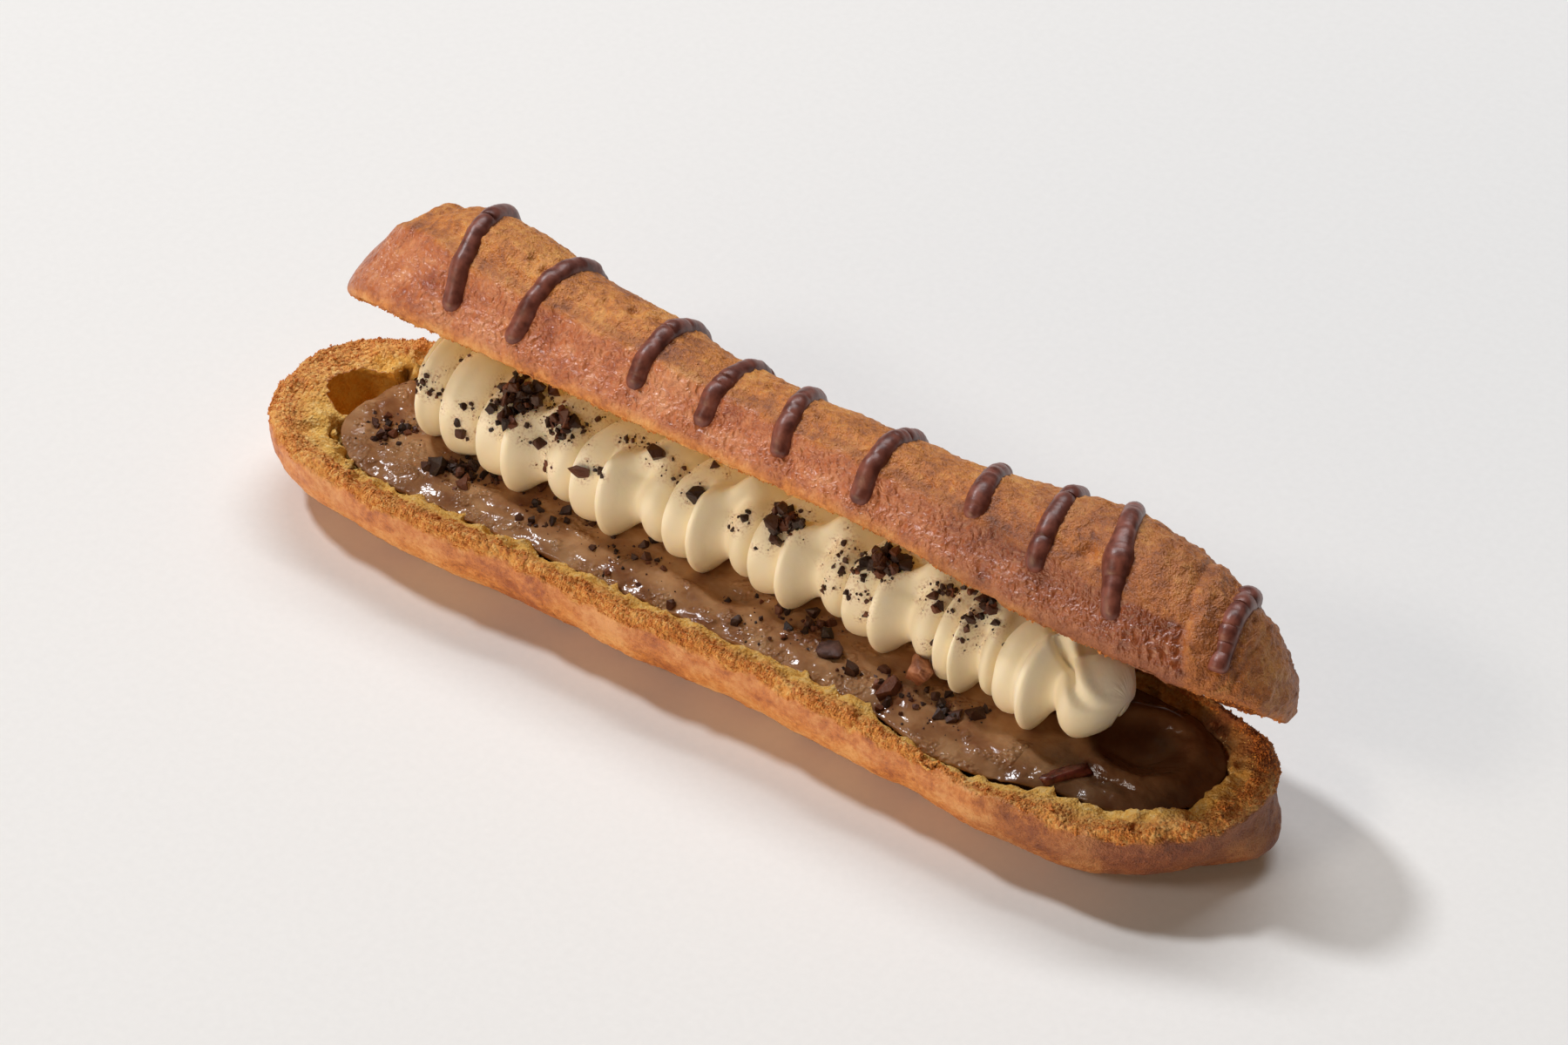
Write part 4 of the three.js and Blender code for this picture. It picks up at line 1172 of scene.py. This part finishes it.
FINISHES = {
    "golden": (tone, [(0.4, "#AA5A18"), (0.5, "#DE8C38"), (0.59, "#F0B268")]),
    "glaze": (tone, [(0.38, "#9A4C2A"), (0.5, "#C27244"), (0.6, "#D89264")]),
    "crown": (fibred, [(0.38, "#87440C"), (0.5, "#C97824"), (0.6, "#E5A04A")]),
    "toast": (speckled, [(0.25, "#C47636"), (0.5, "#E09A42"), (0.8, "#F2C67A")]),
    "pale": (lumps["grain"], [(0.3, "#DC9E3A"), (0.5, "#F2C25E"), (0.7, "#FADA94")]),
    "bubble": (tone, [(0.36, "#D0861A"), (0.5, "#F0B038"), (0.62, "#F8CC66")]),
    # The darkest finish: over-baked crust, and painted shade where the masks put it.
    "dark": (tone, [(0.36, "#4C1E08"), (0.5, "#7C3812"), (0.62, "#9A5022")]),
}
colour = None
for name, (value, stops) in FINISHES.items():
    layer = add(tree, "ShaderNodeValToRGB", {0: value}, stops=stops).outputs[0]
    if colour:
        both = {0: masks[name], 6: colour, 7: layer}
        layer = add(tree, "ShaderNodeMix", both, data_type="RGBA").outputs[2]
    colour = layer
tree.links.new(colour, surface.inputs["Base Color"])
torn = add(tree, "ShaderNodeMath", {0: masks["toast"], 1: masks["pale"]}, operation="ADD")
shine = add(tree, "ShaderNodeMath", {0: masks["glaze"], 1: -0.2, 2: 0.5}, operation="MULTIPLY_ADD")
dull = add(tree, "ShaderNodeMath", {0: torn, 1: 0.3, 2: shine}, operation="MULTIPLY_ADD")
tree.links.new(dull.outputs[0], surface.inputs["Roughness"])
RELIEF = (
    ("glaze", leather, 0.55),
    ("crown", lumps["fibre"], 1.0),
    ("toast", cells, -1.3),
    ("pale", cells, -0.5),
)
calm = add(tree, "ShaderNodeMath", {0: masks["glaze"], 1: -0.8, 2: 1.0}, operation="MULTIPLY_ADD")
height = add(tree, "ShaderNodeMath", {0: lumps["grain"], 1: lumps["fine"]}, operation="ADD")
height = add(tree, "ShaderNodeMath", {0: height, 1: calm}, operation="MULTIPLY")
for name, value, amount in RELIEF:
    part = add(tree, "ShaderNodeMath", {0: masks[name], 1: amount}, operation="MULTIPLY")
    height = add(tree, "ShaderNodeMath", {0: value, 1: part, 2: height}, operation="MULTIPLY_ADD")
bumpy = add(tree, "ShaderNodeBump", {"Strength": 0.9, "Distance": 0.3 * MM, "Height": height})
tree.links.new(bumpy.outputs[0], surface.inputs["Normal"])
for piece in (base, lid):
    piece.data.materials.append(crust)

# %% [markdown]
# Grains of torn crumb are dry and matt. Their tint, from pale to toasted, picks the colour.

# %% Material of the torn crumb
_, tree, surface, _ = set_up("torn choux crumb", {"Roughness": 0.7})
tint = add(tree, "ShaderNodeAttribute", attribute_name="tint").outputs["Fac"]
stops = [(0, "#F8E2A8"), (0.4, "#F0C874"), (0.7, "#E09A44"), (1, "#CE8038")]
toast = add(tree, "ShaderNodeValToRGB", {0: tint}, stops=stops)
tree.links.new(toast.outputs[0], surface.inputs["Base Color"])

# %% [markdown]
# ## Custard
#
# Custard is milk, egg and chocolate set to a gel, wet on top, so it has sharp highlights. Where small bubbles
# burst, they leave clusters of tiny rims, and each rim catches the light. Noise says where the clusters are.

# %% Material of the custard
wet_gel = {
    "Roughness": 0.16,
    "IOR": 1.42,
    "Subsurface Weight": 0.3,
    "Subsurface Scale": 1.2 * MM,
    "Subsurface Radius": (1.0, 0.55, 0.35),
}
pudding, tree, surface, place = set_up("milk chocolate custard", wet_gel)
streaks = add(tree, "ShaderNodeTexNoise", {"Vector": place, "Scale": 1 / (5 * MM), "Detail": 3.0})
stops = [(0.3, "#86583B"), (0.5, "#A67A54"), (0.68, "#BF966D")]
brown = add(tree, "ShaderNodeValToRGB", {0: streaks}, stops=stops).outputs[0]
# Towards the right end a dark brown is mixed in, as painted shade of the lid that hangs over it.
shaded = add(tree, "ShaderNodeAttribute", attribute_name="dark").outputs["Fac"]
tones = {0: shaded, 6: brown, 7: linear("#462B18")}
brown = add(tree, "ShaderNodeMix", tones, data_type="RGBA").outputs[2]
tree.links.new(brown, surface.inputs["Base Color"])
ripples = add(tree, "ShaderNodeTexNoise", {"Vector": place, "Scale": 1 / (1.1 * MM), "Detail": 3.0})
small = {"Vector": place, "Scale": 1 / (0.55 * MM)}
rims = add(tree, "ShaderNodeTexVoronoi", small, feature="SMOOTH_F1")
froth = add(tree, "ShaderNodeAttribute", attribute_name="froth").outputs["Fac"]
bubbly = add(tree, "ShaderNodeMath", {0: froth, 1: 4.0}, operation="MULTIPLY")
height = add(tree, "ShaderNodeMath", {0: rims, 1: bubbly, 2: ripples}, operation="MULTIPLY_ADD")
bumpy = add(tree, "ShaderNodeBump", {"Strength": 0.55, "Distance": 0.25 * MM, "Height": height})
tree.links.new(bumpy.outputs[0], surface.inputs["Normal"])
p = points_of(custard)
store(custard, "froth", step(noise(p, (6, 3, 3), 70) + 0.6 * noise(p, 1.8, 71), 0.1, 0.4) * (p[:, 0] < 46))
# Painted shadow of the lid: the mask that darkens the custard at the right end.
store(custard, "dark", 0.75 * step(p[:, 0] + 2 * noise(p, 5, 72), 40, 54))
custard.data.materials.append(pudding)

# %% [markdown]
# ## Whipped cream
#
# Cream is full of fat and air: light goes in and comes out nearby, which is what subsurface scattering is
# for. Red light goes furthest, so the valleys look warm. Round the crumbs lies cocoa dust too fine to model.

# %% Material of the cream
fat_and_air = {
    "Roughness": 0.42,
    "Subsurface Weight": 0.5,
    "Subsurface Scale": 0.6 * MM,
    "Subsurface Radius": (1.0, 0.8, 0.5),
}
_, tree, surface, place = set_up("whipped cream", fat_and_air)
soft = add(tree, "ShaderNodeTexNoise", {"Vector": place, "Scale": 1 / (0.7 * MM)})
powder = add(tree, "ShaderNodeTexNoise", {"Vector": place, "Scale": 1 / (0.35 * MM), "Detail": 3.0})
dusted = add(tree, "ShaderNodeAttribute", attribute_name="dust").outputs["Fac"]
speckle = add(tree, "ShaderNodeMapRange", {"Value": powder, "From Min": 0.5, "From Max": 0.62})
speckle = add(tree, "ShaderNodeMath", {0: speckle, 1: dusted}, operation="MULTIPLY")
tinted = {0: speckle, 6: linear("#FFF4DA"), 7: linear("#A97B50")}
tree.links.new(add(tree, "ShaderNodeMix", tinted, data_type="RGBA").outputs[2], surface.inputs["Base Color"])
bumpy = add(tree, "ShaderNodeBump", {"Strength": 0.2, "Distance": 0.12 * MM, "Height": soft})
tree.links.new(bumpy.outputs[0], surface.inputs["Normal"])
nearby = KDTree(len(places["cream"]))
for i, spot in enumerate(places["cream"]):
    nearby.insert(spot[:3], i)
nearby.balance()
away = np.array([nearby.find(point)[2] for point in points_of(cream)])
store(cream, "dust", 0.6 * np.exp(-((away / 0.8) ** 2)))

# %% [markdown]
# ## Chocolate
#
# The drizzle has set with a satin skin and pin-prick bubbles. Chopped chocolate shows its broken sides: dark
# and matt, with a few chips of a redder brown. The three large pieces have finishes of their own.

# %% Materials of the chocolate
CHOCOLATES = {  # roughness, bump in mm, and colours by tint or by noise
    "drizzled chocolate": (0.38, 0.06, None, [(0.35, "#5C2E24"), (0.65, "#864E40")]),
    "chopped dark chocolate": (
        0.55,
        0.25,
        "tint",
        [(0, "#24120C"), (0.6, "#402317"), (0.85, "#5C3220"), (1, "#804C34")],
    ),
    "bloomed dark chocolate": (0.6, 0.15, None, [(0.35, "#3D2420"), (0.65, "#5E3F3A")]),
    "milk chocolate": (0.5, 0.25, None, [(0.35, "#7E4A30"), (0.65, "#B57B58")]),
    "glazed dark chocolate": (0.3, 0.2, None, [(0.35, "#3A140E"), (0.65, "#6E3226")]),
}
chocolates = []
for name, (roughness, depth, varied_by, stops) in CHOCOLATES.items():
    material, tree, surface, place = set_up(name, {"Roughness": roughness})
    clouds = add(tree, "ShaderNodeTexNoise", {"Vector": place, "Scale": 1 / (1.5 * MM), "Detail": 3.0})
    if varied_by:
        clouds = add(tree, "ShaderNodeAttribute", attribute_name=varied_by).outputs["Fac"]
    shade = add(tree, "ShaderNodeValToRGB", {0: clouds}, stops=stops)
    tree.links.new(shade.outputs[0], surface.inputs["Base Color"])
    prick = add(tree, "ShaderNodeTexNoise", {"Vector": place, "Scale": 1 / (0.35 * MM), "Detail": 3.0})
    bumpy = add(tree, "ShaderNodeBump", {"Strength": 0.5, "Distance": depth * MM, "Height": prick})
    tree.links.new(bumpy.outputs[0], surface.inputs["Normal"])
    chocolates.append(material)
for piece, material in zip(large.values(), chocolates[2:]):
    piece.data.materials.append(material)

# %% [markdown]
# ## What stands for what
#
# Every piece rides on the one body and replaces the plain solid whose form it has.

# %% Hand over
HOLDERS = [
    (base, "pastry_base", "choux_crust"),
    (grains[0], "pastry_base", "choux_crumb"),
    (custard, "custard", "chocolate_custard"),
    (crumbs["custard"], "custard", "dark_chocolate"),
    *[(piece, "custard", "dark_chocolate") for piece in large.values()],
    (cream, "cream", "whipped_cream"),
    (crumbs["cream"], "cream", "dark_chocolate"),
    (lid, "pastry_lid", "choux_crust"),
    (grains[1], "pastry_lid", "choux_crumb"),
    (stripes, "pastry_lid", "dark_chocolate"),
]
for piece, node, slot in HOLDERS:
    piece.name = piece.name.replace(" ", "_")
    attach(piece, "root")
    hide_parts(node)
